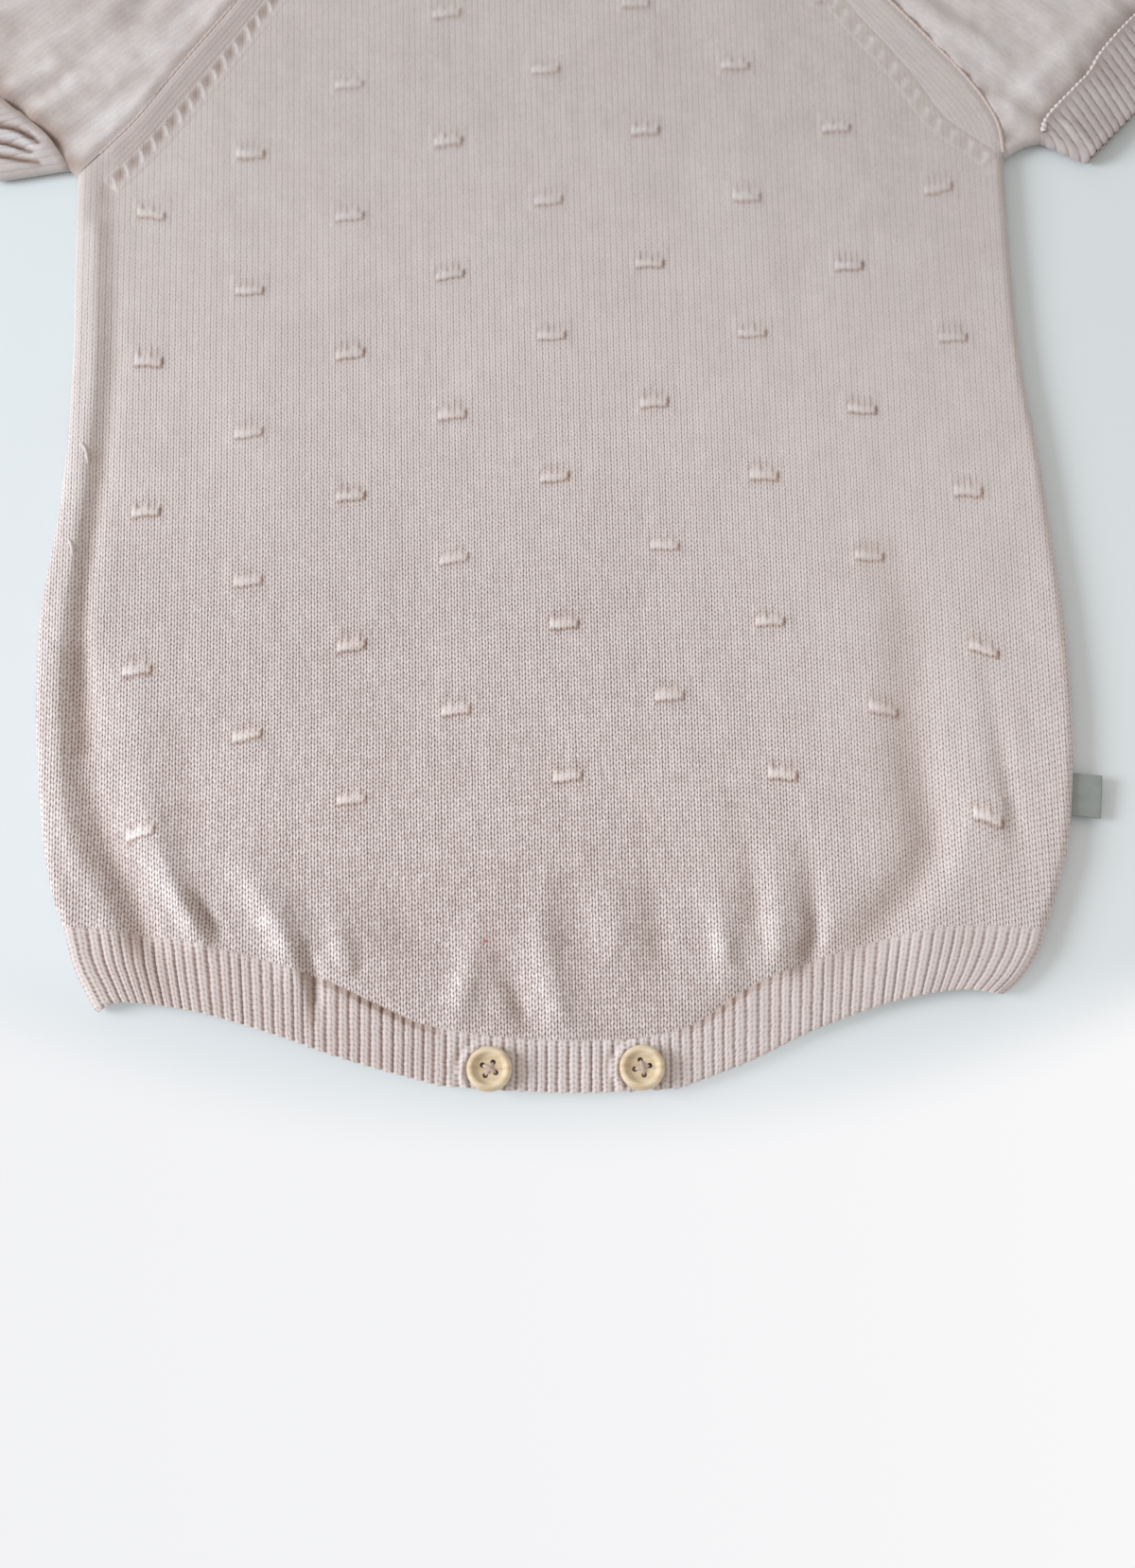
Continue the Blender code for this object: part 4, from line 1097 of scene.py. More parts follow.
def sleeve_relief(points):
    """Creases of a sleeve, the roll beside its raglan seam and the dip at its cuff seam."""
    seam = near(points, front_raglans)
    left, right = [ridges(seam, RAGLAN_RIDGES[hand]) for hand in ("left", "right")]
    height = creases(points, SLEEVE_CREASES) + np.where(points[:, 0] < 0, left, right)
    height += dappled(streaky(points), STREAKS) + dappled(points, SLEEVE_DAPPLE)
    height += ridges(near(points, list(cuff_seams.values())), CUFF_RIDGES)
    return height - DENT_DEPTH * dents(points)


def rolled(distances, span, other_span):
    """Distances along one edge as distances along another, the same where the cloth rolls."""
    return np.interp(distances, [0, ROLL_REACH, span - ROLL_REACH, span],
                     [0, ROLL_REACH, other_span - ROLL_REACH, other_span])


def with_back(shade, columns):
    """Shade of a front run, and plain columns after it for the back run."""
    return np.pad(shade, ((0, 0), (0, columns)), constant_values=1.0)


def sleeve(hand):
    """Short raglan sleeve: a flattened tube from the raglan seams to the cuff seam."""
    steps = 1 - (1 - np.linspace(0, 1, SLEEVE_ROWS + 1)) ** SLEEVE_CROWDING
    low_fold = at_shares(undersides[hand], steps)
    high_fold = at_shares(shoulders[hand][::-1], steps)
    seam = cuff_seams[hand]
    plans, runs = [], []
    for (side, mark), relief in zip(RUNS, (sleeve_relief, back_relief)):
        edge = head(hand, side)
        distances = spaced(length(edge), SLEEVE_CELL, fine_start=True, fine_end=True)
        low = distances / length(edge)
        roll = rolled(distances, length(edge), length(seam)) / length(seam)
        plans.append(patch(at_shares(seam, roll), at(edge, distances), low_fold[::-1], high_fold,
                           roll, low, steps))
        runs.append(raised(plans[-1], mark, relief))
    points = np.concatenate([runs[0], runs[1][:, -2:0:-1]], axis=1)
    plan = np.concatenate([plans[0], plans[1][:, -2::-1]], axis=1)
    flat = plans[0].reshape(-1, 2)
    from_seam = near(flat, front_raglans)
    # Painted shade and light in the sleeve's colour: mottled patches that stand in for the shading of
    # small folds, lighter on the right sleeve, a light band beside the left raglan seam, darker right
    # at both raglan seams, in the dents and by the cuff seam, and the shade of the creases
    start, span = MOTTLE_FADE
    patchy_shade = MOTTLED_SHADE[hand] * (1 - MOTTLE_LOSS * smooth((flat[:, 1] - start) / span))
    shade = 1 + patchy_shade * (dappled(streaky(flat), MOTTLE_STREAKS) + dappled(flat, MOTTLE_SPOTS))
    shade += SLEEVE_LIGHT[hand] - DENT_SHADE * dents(flat) + ridges(from_seam, RAGLAN_SHADE[hand])
    shade -= SEAM_SHADE[hand] * bell(near(flat, [seam]) - 0.6, 3.6)
    shade += SLEEVE_FOLD_LIGHT * creases(flat, SLEEVE_CREASES)
    shade = with_back(shade.reshape(plans[0].shape[:2]), runs[1].shape[1] - 2)
    grid = Grid(points, plain_uv(plan, SLEEVE_WALES[hand]), closed=True, flip=hand == "left",
                shade=shade, groove=SLEEVE_STITCH)
    cloth(f"sleeve_{hand}_jersey", [grid], jersey, JERSEY_WALL, f"sleeve_{hand}",
          cut_size(plans))


# ---------------------------------------------------------------- ribbed pieces

EDGE_STEPS = (0.0, 0.25, 0.7, 1.4)
BAND_CELL = 0.85
HIP_SMOOTH = (2.4, 5.5)
FOLD_PULL = 22.0
HIP_PULL = 30.0
BAND_DEPTH = {"left": 0.88, "right": 0.7}
# Painted shade over the whole of each leg band
BAND_SHADE = {"left": 0.09, "right": 0.03}
CUFF_DEPTH = {"left": 0.35, "right": 0.75}
# Painted light over the left cuff and painted shade over the right one
CUFF_SHADE = {"left": 0.06, "right": -0.03}
CUFF_GROOVE_SHADE = 0.55
CUFF_LEAN = {"left": 0.0, "right": -0.6}
CUFF_CONTRAST = 2.2
CUFF_DAPPLE = ((6.0, 8, 0.2),)
CUFF_TINT = ((5.0, 7, 0.04),)

# Folds of the cuffs, as FRONT_CREASES. The first three are grooves in the left one, painted dark
# there with painted shade
CUFF_CREASES = (
    (1.2, -1.6, 1.0, ((-181, 97.2), (-174, 98.2), (-166.5, 96.5), (-160.5, 92))),
    (1.2, -1.7, 1.0, ((-182, 92.4), (-175, 92.6), (-168, 91), (-162.5, 88.4))),
    (1.2, -1.5, 1.0, ((-182, 88), (-175, 88), (-168, 86.4), (-160, 84.6))),
    (1.6, 0.9, 1.0, ((-182, 95), (-174, 95.4), (-166, 93.6), (-159, 90))),
    (1.6, 0.8, 1.0, ((-182, 90.2), (-174, 90.2), (-166, 88.6), (-159, 86.4))),
    (2.2, 0.7, 1.0, ((163, 98), (167, 93), (171, 88))),
)
# Middle of each button, and the stitched loop that is bunched round it
BUTTON_SPOTS = ((-16.3, -200.6), (26.2, -200.1))
LOOP_REACH = 7.4
LOOP_COUNT = 19
LOOP_TURN = 0.6
# Rows for ridges(): the loop, the hollows inside and outside it, how far the ribs are closed
# there, and the front's creases in the band
LOOP_RIDGE = ((0.75, 0.0, 0.9),)
LOOP_INSIDE = ((-0.5, -1.5, 0.8),)
LOOP_OUTSIDE = ((-0.5, 2.0, 0.9),)
LOOP_RIBS = ((0.75, 0.0, 1.5),)
BAND_CREASES = ((0.75, 0.0, 8.0),)


def band_rows(span):
    """Shares from a free edge to a seam, fine at the edge, where the cloth rounds over."""
    count = int((span - EDGE_STEPS[-1]) / BAND_CELL)
    rows = np.append(EDGE_STEPS[:-1], np.linspace(EDGE_STEPS[-1], span, count + 1))
    return rows / span


def pushed(points, amounts, closed):
    """Points moved along the grid's normals, whose sign follows the upper run."""
    if closed:
        wide = np.concatenate([points[:, -1:], points, points[:, :1]], axis=1)
        across = wide[:, 2:] - wide[:, :-2]
    else:
        across = np.gradient(points, axis=1)
    normal = unit(np.cross(across, np.gradient(points, axis=0)))
    middle = normal[:, :points.shape[1] // 3, 2].mean()
    return points + normal * math.copysign(1.0, middle) * amounts[..., None]


def ribbed(points, ribs, rows, span, closed, depth=1.0, lip=1.0):
    """Rib columns over a smooth band, and how far the recess is open at each point. Rows run
    from the free edge to the seam, where the ribs die out into the jersey. lip says which
    columns' crowns stick out at the free edge."""
    from_edge = (rows * span)[:, None]
    start = RIB_FADE * (0.7 + 0.6 * np.abs(np.sin(2.4 * np.floor(ribs))))
    groove = smooth((span - from_edge) / start) * depth
    crown = 1 - np.abs((ribs % 1.0) - 0.5) * 2
    rounding = EDGE_DROP * (1 - np.clip(from_edge / EDGE_ROUND, 0, 1)) ** 2
    made = pushed(points, rib_relief(ribs) * groove - rounding, closed)
    out = unit(points[0] - points[3])
    reach = np.clip(1 - from_edge / LIP_REACH, 0, 1)[..., None]
    return made + out * reach * (lip * (0.55 * crown ** 0.6 - 0.15))[..., None], groove


def uneven(x):
    """Rib count across the band: the ribs hang straight, and no two are quite as wide."""
    return x / RIB_PITCH + 0.12 * np.sin(x / 6.1) + 0.07 * np.sin(x / 2.7 + 1)


def ruled(bottom, top, fold, rows, distances):
    """Plan grid whose columns run straight from edge to edge, bent near the fold to follow it."""
    plan = bottom + (top - bottom) * rows[:, None, None]
    straight = fold[0] + (fold[-1] - fold[0]) * rows[:, None]
    return plan + (fold - straight)[:, None] * bell(distances, FOLD_PULL)[None, :, None]


def band_relief(points):
    """Creases that run on into the band, and the bunching round the buttons."""
    fade = ridges(near(points, [join]), BAND_CREASES)
    height = creases(points, FRONT_CREASES) * (1 - BAND_CREASES[0][0] + fade) + join_dip(points)
    for spot in BUTTON_SPOTS:
        offset = points - spot
        from_loop = np.hypot(offset[:, 0], offset[:, 1]) - LOOP_REACH
        turn = np.arctan2(offset[:, 1], -offset[:, 0])
        upper = np.clip(np.cos(turn - LOOP_TURN), 0, 1)
        height += ridges(from_loop, LOOP_RIDGE) * upper * (0.75 + 0.25 * np.cos(turn * LOOP_COUNT))
        height += ridges(from_loop, LOOP_INSIDE) + ridges(from_loop, LOOP_OUTSIDE) * upper
    return height


def bunched(points):
    """How far the ribs are open near the buttons: the stitched loops interrupt them."""
    open_share = np.ones(points.shape[:2])
    for x, y in BUTTON_SPOTS:
        around = np.hypot(points[..., 0] - x, points[..., 1] - y)
        left = np.clip((x + 2 - points[..., 0]) / 3, 0, 1)
        open_share -= ridges(around - LOOP_REACH, LOOP_RIBS) * left
    return open_share


def leg_band(hand):
    """Ribbed band of one leg: front run, folded at the hip, and back run."""
    left = hand == "left"
    edge = curve(LEFT_LEG_EDGE if left else RIGHT_LEG_EDGE)
    hip = hip_left if left else hip_right
    span = crotch_left if left else length(join) - crotch_right
    distances = spaced(span, RIB_CELL, fine_start=True)
    rows = band_rows(length(hip))
    top = at(join if left else join[::-1], distances)
    pull = (edge[0] - top[0])[0] * np.exp(-distances / HIP_PULL)
    foot = top[:, 0] + pull + (edge[-1, 0] - top[-1, 0] - pull[-1]) * distances / span
    order = 1 if left else -1
    reach = np.interp(foot, edge[::order, 0], running(edge)[::order])
    plans, runs = [], []
    for mark, relief in ((1, band_relief), (-1, None)):
        bottom = at(edge, reach)
        if mark < 0:
            inset = BACK_EDGE_INSET * np.clip(distances / INSET_START, 0, 1)
            bottom = bottom + unit(top - bottom) * inset[:, None]
        plans.append(ruled(bottom, top, at_shares(hip, rows), rows, distances))
        runs.append(raised(plans[-1], mark, relief))
    points = np.concatenate([runs[0][:, ::-1], runs[1][:, 1:]], axis=1)
    count = uneven(top[:, 0])
    ribs = np.concatenate([count[::-1], 2 * count[0] - count[1:]])
    lip = np.append(np.ones(len(count)), np.zeros(len(count) - 1))
    away = np.concatenate([distances[::-1], distances[1:]])
    depth = smooth((away - HIP_SMOOTH[0]) / (HIP_SMOOTH[1] - HIP_SMOOTH[0])) * BAND_DEPTH[hand]
    points, groove = ribbed(points, ribs, rows, length(hip), False, depth, lip)
    # Painted shade of the folds and below the jersey's edge, and over the whole band
    shade = fold_shade(plans[0], FRONT_CREASES) + join_shade(plans[0], count) - BAND_SHADE[hand]
    shade = with_back(shade[:, ::-1], len(count) - 1)
    grid = Grid(points, rib_uv(points, ribs), flip=left, shade=shade, groove=groove)
    cloth(f"leg_band_{hand}_rib", [grid], rib, RIB_WALL, f"leg_band_{hand}",
          cut_size(plans))


def crotch_band(mark, node):
    """Ribbed crotch flap: 1 is the front flap, and -1 the one under it."""
    span = crotch_right - crotch_left
    distances = spaced(span, RIB_CELL)
    top = at(join, distances + crotch_left)
    bottom = at_shares(curve(CROTCH_EDGE), distances / span)
    if mark < 0:
        bottom = bottom + (0, BACK_EDGE_INSET)
    height = length(np.array([bottom[0], top[0]]))
    rows = band_rows(height)
    plan = between(bottom, top, rows[:, None, None])
    flat = raised(plan, mark, band_relief if mark > 0 else None)
    ribs = uneven(top[:, 0])
    points, groove = ribbed(flat, ribs, rows, height, False, bunched(plan))
    if mark < 0:
        points[..., 2] = np.maximum(2 * flat[..., 2] - points[..., 2], flat[..., 2])
    grid = Grid(points, rib_uv(points, ribs), flip=mark < 0, shade=fold_shade(plan, FRONT_CREASES),
                groove=groove)
    cloth(f"{node}_rib", [grid], rib, RIB_WALL, node, cut_size([plan]))


def cuff_relief(points):
    return creases(points, CUFF_CREASES) + dappled(points, CUFF_DAPPLE)


def ring(node, runs, plans, distances, rows, span, flip, lean=0.0, depth=1.0, shade=1.0):
    """Ribbed tube, flattened: its upper and lower runs meet at two folds. lean slants the ribs."""
    points = np.concatenate([runs[0], runs[1][:, -2:0:-1]], axis=1)
    first, second = distances
    whole = first[-1] + second[-1]
    pitch = whole / round(whole / RIB_PITCH)
    around = np.concatenate([first, whole - second[-2::-1]]) / pitch + 0.5
    around = around + lean * (rows * span / pitch)[:, None]
    points, groove = ribbed(points, around[:, :-1], rows, span, True, depth)
    uv = rib_uv(np.concatenate([points, points[:, :1]], axis=1), around)
    grid = Grid(points, uv, closed=True, flip=flip, shade=shade, groove=groove)
    cloth(f"{node}_rib", [grid], rib, RIB_WALL, node, cut_size(plans))


def cuff(hand):
    """Ribbed cuff, from its free edge up to the cuff seam."""
    seam, edge = cuff_seams[hand], cuff_edges[hand]
    span = float(np.linalg.norm(edge[len(edge) // 2] - seam[len(seam) // 2]))
    rows = band_rows(span)
    low_fold, high_fold = [between(edge[end], seam[end], rows[:, None]) for end in (0, -1)]
    distances = spaced(length(seam), RIB_CELL, fine_start=True, fine_end=True)
    reach = rolled(distances, length(seam), length(edge))
    plan = patch(at(edge, reach), at(seam, distances), low_fold, high_fold,
                 reach / length(edge), distances / length(seam), rows)
    runs = [raised(plan, 1, cuff_relief), raised(plan, -1)]
    shape = plan.shape[:2]
    flat = plan.reshape(-1, 2)
    # Painted shade and light of the cuff: the folds' painted shade made stronger, an overall painted
    # tone for each cuff, a random dapple of tone, painted shade by the cuff seam, and on the left cuff
    # painted shade in its grooves
    dapple_and_shade = CUFF_SHADE[hand] + dappled(flat, CUFF_TINT)
    dapple_and_shade -= SEAM_SHADE[hand] * bell(near(flat, [seam]), 1.6)
    shade = 1 + CUFF_CONTRAST * (fold_shade(plan, CUFF_CREASES) - 1) + dapple_and_shade.reshape(shape)
    if hand == "left":
        grooves = [curve(row[3]) for row in CUFF_CREASES[:3]]
        shade -= CUFF_GROOVE_SHADE * bell(near(flat, grooves), 0.9).reshape(shape)
    ring(f"cuff_{hand}", runs, [plan, plan], (distances, distances), rows, span,
         hand == "left", CUFF_LEAN[hand], CUFF_DEPTH[hand], with_back(shade, shape[1] - 2))


def neckband():
    """Ribbed neckband, from its free edge down to the neck seam."""
    rows = band_rows(NECK_HEIGHT)
    turns = np.linspace(math.pi, 0, 400)
    runs, plans, distances = [], [], []
    for side, mark in RUNS:
        fine = oval(NECK_SEAM, side, turns)
        along = spaced(length(fine), RIB_CELL, fine_start=True, fine_end=True)
        angles = np.interp(along, running(fine), turns)
        edge, seam = [oval(shape, side, angles)[None] for shape in (NECK_EDGE, NECK_SEAM)]
        plans.append(between(edge, seam, rows[:, None, None]))
        runs.append(raised(plans[-1], mark))
        distances.append(along)
    ring("neckband", runs, plans, distances, rows, NECK_HEIGHT, True)


for hand in ("left", "right"):
    sleeve(hand)
    cuff(hand)
    leg_band(hand)
crotch_band(1, "crotch_band_front")
crotch_band(-1, "crotch_band_back")
neckband()


# ---------------------------------------------------------------- tufts and narrowing marks

TUFT_CELL = 0.41
PATCH_REACH = (7.2, 6.0)
PATCH_LIFT = 0.2


def tuft_height(x, y, wale, soft):
    """Height, painted shade and light, and stitch contrast of one tuft at places in its own frame,
    y up along the wales: floats side by side with a painted highlight, gathered below by a line
    of painted shade and at the right by a pit of painted shade. wale is the place across the
    wales, and soft blurs the tuft, up to 1."""
    # Below, each ramp and bell is a place from the tuft's foot or side and its width, in mm
    up = y - TUFT_SLOPE * x + TUFT_FOOT
    share = (x + TUFT_HALF) / (2 * TUFT_HALF)
    inside = smooth((x + TUFT_HALF + 0.3) / 0.9) * smooth((TUFT_HALF + 0.1 - x) / 0.8)
    gap = np.abs(wale % 1.0 - 0.5) * 2
    top = TUFT_HEIGHT - 0.5 * share + 0.6 * np.sin(2.9 * np.floor(wale))
    rise = smooth((up - 0.1) / 1.2) * (1 - smooth((up - top + 0.9) / 2.4))
    line = bell(up - 0.2 * np.sin(1.7 * np.floor(wale)), 0.5 + 0.35 * soft)
    line = line * inside * (0.5 + 0.5 * gap ** 2)
    pit = bell(x - TUFT_HALF + 0.5 - 0.16 * up + 0.15 * np.sin(4 * up), 0.6 + 0.25 * soft)
    pit = pit * smooth((up + 0.8) / 0.8) * (1 - smooth((up - 1.8) / 1.6))
    rim = bell(x + TUFT_HALF + 0.1, 0.45) * smooth(up - 0.2) * (1 - smooth((up - 3.4) / 1.6))
    floats = smooth((up - 0.35) / 0.6) * (1 - smooth((up - top) / 1.1)) * inside
    slots = smooth((up - top + 1.1) / 0.9) * (1 - smooth((up - top - 2.1) / 2.0)) * inside * gap ** 2
    slots = slots * (0.75 + 0.25 * np.sin(4.3 * np.round(wale))) + 0.35 * floats * gap ** 3
    below = bell(up + 1.5, 1.2) * inside
    height = TUFT_RISE * rise * inside * (1.0 - 0.3 * share) * (1 - 0.25 * gap ** 2)
    # Painted highlight on the floats' left part, and painted shade in the line, the pit, the left rim,
    # the slots at the floats' top and below the tuft
    painted_highlight = floats * (1 - smooth(share * 1.3)) * smooth((3.6 - up) / 1.6)
    painted_shade = (1 - 0.45 * soft) * np.maximum(line, pit)
    faint_shade = (1 - 0.6 * soft) * (TUFT_RIM * rim + TUFT_SLOT * slots)
    shade = 1 + TUFT_LIGHT * painted_highlight + (0.07 * soft - 0.03) * floats
    shade = shade - TUFT_SHADE * painted_shade - faint_shade - TUFT_BELOW * below
    return height, shade, 1 - floats * (0.8 - 0.35 * share)


def tuft_patches():
    """One fine patch of the front's cloth round each tuft, all in one mesh."""
    width, reach = PATCH_REACH
    x = np.linspace(-width, width, int(2 * width / TUFT_CELL) + 1)
    y = np.linspace(-reach, reach, int(2 * reach / TUFT_CELL) + 1)
    local_x, local_y = np.meshgrid(x, y)
    window = smooth((width - np.abs(local_x)) / 2.2) * smooth((reach - np.abs(local_y)) / 2.0)
    grids = []
    for index, (cx, cy) in enumerate(tufts):
        plan = np.dstack([cx + local_x, cy + local_y + PATCH_LIFT])
        uv = front_uv(plan)
        middle = front_uv(np.array([[[cx, cy]]]))[0, 0]
        wales = uv[..., 0] - math.floor(middle[0]) - 0.5
        courses = uv[..., 1] - middle[1]
        # No two tufts are alike: size, tilt and strength vary from one to the next
        size = 1.0 + 0.1 * math.sin(7.3 * index)
        tilt = 0.08 * math.sin(3.1 * index)
        strength = 1.0 + 0.3 * math.sin(5.7 * index)
        along = (courses * COURSE - tilt * wales) / size
        soft = smooth((cy - TUFT_SOFT_Y) / TUFT_SOFT_SPAN)
        height, shade, crisp = tuft_height(wales * WALE, along, uv[..., 0], soft)
        points = raised(plan, 1, front_relief)
        points[..., 2] += (height * strength + PATCH_OVER) * window - PATCH_UNDER
        # The tuft's painted shade and light, over the painted shade of the front's folds
        shade = (1 + (shade - 1) * (0.55 + 0.45 * strength) * window) * fold_shade(plan, FRONT_CREASES)
        grids.append(Grid(points, uv, shade=shade, groove=1 + (crisp - 1) * window))
    cloth("front_tufts", grids, jersey)


MARK_CELL = 0.38
MARK_HALF = 4.4
MARK_MARGIN = 3.0
MARK_RIM = 2.2
MARK_END = 2.5
MARK_REACH = 2.3
MARK_RISE = 0.3
MARK_OVER = 0.26
MARK_PLAIN = 0.7
HOLLOW_SHARE = 0.48
HOLLOW_SIZE = np.array((1.6, 2.6)).reshape(2, 1, 1)
GUTTER_SHADE = ((0.08, 1.7, 1.6),)
# side is where the seam lies, and the last two keys are how much painted highlight the strokes get
# and how much painted shade the hollows get; the gutter beside the marks gets painted shade too
MARKS = {"left": {"lean": 0.25, "side": -1, "depth": 1.0, "width": 0.62, "light": 0.05, "painted_shade": 0.28},
         "right": {"lean": -0.25, "side": 1, "depth": 0.45, "width": 1.1, "light": 0.07, "painted_shade": 0.08}}
STRIP_CELL = 0.9
STRIP_SHORT = 2.2
STRIP_RIM = 1.6
STRIP_OVER = 0.2
STRIP_UNDER = 0.12
# shade is painted over each strip: painted shade on the left one and painted light on the right one
STRIPS = {"left": {"start": SEAM_START + 1.0, "shade": -0.1, "stitch": 1.5},
          "right": {"start": 3.0, "shade": 0.05, "stitch": 1.1}}


def mark_strip(hand):
    """Fine strip of the front's cloth along a row of narrowing stitches: strokes with a painted
    highlight, and hollows between them with painted shade."""
    look = MARKS[hand]
    line = mark_lines[hand]
    count = int(length(line) / MARK_CELL)
    middle = at_shares(line, np.linspace(0, 1, count))
    along = unit(np.gradient(middle, axis=0))
    across = np.column_stack([along[:, 1], -along[:, 0]])
    offset = np.linspace(-MARK_HALF, MARK_HALF, int(2 * MARK_HALF / MARK_CELL) + 1)
    plan = middle[:, None] + across[:, None] * offset[None, :, None]
    distances = running(middle)
    ends = np.minimum(distances, distances[-1] - distances)
    window = smooth((MARK_HALF - np.abs(offset)) / MARK_RIM) * smooth(ends / MARK_END)[:, None]
    direction = unit(np.array((look["lean"], -1.0)))
    sideways = np.array((-direction[1], direction[0]))
    stroke = np.zeros(plan.shape[:2])
    hollow = np.zeros(plan.shape[:2])
    places = np.arange(MARK_MARGIN, distances[-1] - MARK_MARGIN, MARK_PITCH)
    for index, place in enumerate(places):
        here = at(middle, [place + 0.35 * math.sin(4.1 * index)])[0]
        there = at(middle, [place + MARK_PITCH * HOLLOW_SHARE])[0]
        there = there + across[np.searchsorted(distances, place)] * look["side"] * 0.7
        down, aside = (plan - here) @ direction, (plan - here) @ sideways
        reach = MARK_REACH + 0.35 * math.sin(2.9 * index)
        long = 1 - smooth((np.abs(down) - reach + 0.8) / 1.3)
        stroke = np.maximum(stroke, long * bell(aside + 0.12 * down ** 2 / reach, look["width"]))
        down, aside = (plan - there) @ direction, (plan - there) @ sideways
        hollow = np.maximum(hollow, bell(np.hypot(*np.array((aside, down)) / HOLLOW_SIZE), 1.0))
    hollow = hollow * (1 - 0.85 * stroke)
    gutter = ridges(offset[None] * look["side"], GUTTER_SHADE) * (1 - stroke)
    points = raised(plan, 1, front_relief)
    points[..., 2] += (MARK_RISE * stroke * look["depth"] + MARK_OVER) * window - PATCH_UNDER
    # Painted highlight on the strokes, and painted shade in the hollows and the gutter
    painted_shade = look["painted_shade"] * hollow + look["depth"] * gutter
    shade = 1 + (look["light"] * stroke - painted_shade) * window
    return Grid(points, front_uv(plan), shade=shade, groove=1 - MARK_PLAIN * stroke * window)


def raglan_strip(hand):
    """Smooth strip between the raglan seam and the marks, its wales along the seam."""
    look = STRIPS[hand]
    seam = raglans[hand, "front"]
    count = int(length(mark_lines[hand]) / STRIP_CELL)
    outer = at(seam, np.linspace(look["start"], length(seam) - 2.5, count))
    inner = at_shares(mark_lines[hand], np.linspace(0.02, 0.97, count))
    width = np.linalg.norm(inner - outer, axis=1)[:, None]
    inner = between(inner, outer, np.minimum(STRIP_SHORT / width, 0.6))
    shares = np.linspace(0.05, 1.0, 14)
    plan = between(outer[:, None], inner[:, None], shares[None, :, None])
    width = np.linalg.norm(inner - outer, axis=1)[:, None]
    window = np.minimum(shares * width, (1 - shares) * width + 0.1)
    ends = np.minimum(np.arange(count), np.arange(count)[::-1])[:, None]
    window = smooth(window / STRIP_RIM) * smooth(ends / 6.0)
    points = raised(plan, 1, front_relief)
    points[..., 2] += STRIP_OVER * window - STRIP_UNDER
    down = running((outer + inner) / 2)[:, None] * np.ones(len(shares))
    uv = np.dstack([(shares * width) / WALE, down / COURSE])
    # Painted shade over the left strip and painted light over the right one
    return Grid(points, uv, shade=1 + look["shade"] * window, groove=look["stitch"])


def upright(grid):
    """Turns a grid's faces over if they look down."""
    across = grid.points[1:, 1:] - grid.points[1:, :-1]
    down = grid.points[1:, 1:] - grid.points[:-1, 1:]
    up = (across[..., 0] * down[..., 1] - across[..., 1] * down[..., 0]).mean() > 0
    grid.flip = not up
    return grid


tuft_patches()
strips = [upright(mark_strip(hand)) for hand in mark_lines]
strips += [upright(raglan_strip(hand)) for hand in mark_lines]
cloth("front_marks", strips, jersey)


# ---------------------------------------------------------------- linking and loose stitches

CHAIN_PITCH = 2.1
CHAIN_STEP = 0.2
STRAND_SIDES = 8
# Radius of the cord, how far it is sunk, and where it starts
CORDS = {"left": (0.62, 0.2, SEAM_START), "right": (0.7, 0.3, 1.5)}
SIDE_STITCHES = (((-140.3, -11.8), (-138.6, -14.2), (-137.6, -18.6)),
                 ((-142.0, -42.8), (-140.8, -45.0), (-140.2, -48.0)))


def surface(plan, relief):
    """Heights of the upper face at some plan points."""
    return raised(plan[None], 1, relief)[0, :, 2]


def strand(path, radius, squash=1.0):
    """Strand of yarn along a path, flattened by squash."""
    along = unit(np.gradient(path, axis=0))
    side = unit(np.cross(along, (0.0, 0.0, 1.0)))
    up = np.cross(side, along)
    around = np.linspace(0, 2 * math.pi, STRAND_SIDES, endpoint=False)[None, :, None]
    offset = side[:, None] * np.cos(around) + up[:, None] * np.sin(around) * squash
    points = path[:, None] + offset * np.broadcast_to(radius, len(path))[:, None, None]
    return Grid(points, np.zeros((len(path), STRAND_SIDES + 1, 2)), closed=True)


def linking():
    """Chain of linking stitches that stands up along the right cuff seam."""
    seam = cuff_seams["right"]
    distances = np.arange(2.5, length(seam) - 2.5, CHAIN_STEP)
    plan = at(seam, distances)
    wave = np.abs(np.sin(math.pi * distances / CHAIN_PITCH))
    sway = 0.22 * np.sin(2 * math.pi * distances / CHAIN_PITCH + 0.7)
    normal = unit(np.gradient(plan, axis=0)[:, ::-1] * (1, -1))
    height = surface(plan, sleeve_relief) + 0.4
    path = np.column_stack([plan + normal * sway[:, None], height + 0.15 * wave])
    return strand(path, 0.6 + 0.25 * wave ** 0.7, 0.75)


def raglan_cord(hand):
    """Linking yarn that fills the bottom of a raglan seam's groove."""
    seam = raglans[hand, "front"]
    radius, sunk, start = CORDS[hand]
    distances = np.arange(start, length(seam) - 2.0, CHAIN_STEP * 2)
    plan = at(seam, distances)
    wave = np.sin(2 * math.pi * distances / CHAIN_PITCH)
    path = np.column_stack([plan, surface(plan, front_relief) - sunk])
    return strand(path, radius + 0.06 * wave, 0.9)


def loose_stitch(table):
    """Stitch that shows on the face beside the left side seam."""
    plan = curve(table, 6)
    share = np.linspace(0, 1, len(plan))
    path = np.column_stack([plan, surface(plan, front_relief) + 0.12])
    return strand(path, 0.12 + 0.36 * np.sin(math.pi * share) ** 0.6, 0.8)


cloth("linking_stitches", [linking()], light_yarn)
cloth("raglan_thread", [raglan_cord(hand) for hand in cuff_seams], seam_yarn)
cloth("side_stitches", [loose_stitch(table) for table in SIDE_STITCHES], light_yarn)


# ---------------------------------------------------------------- buttons and label

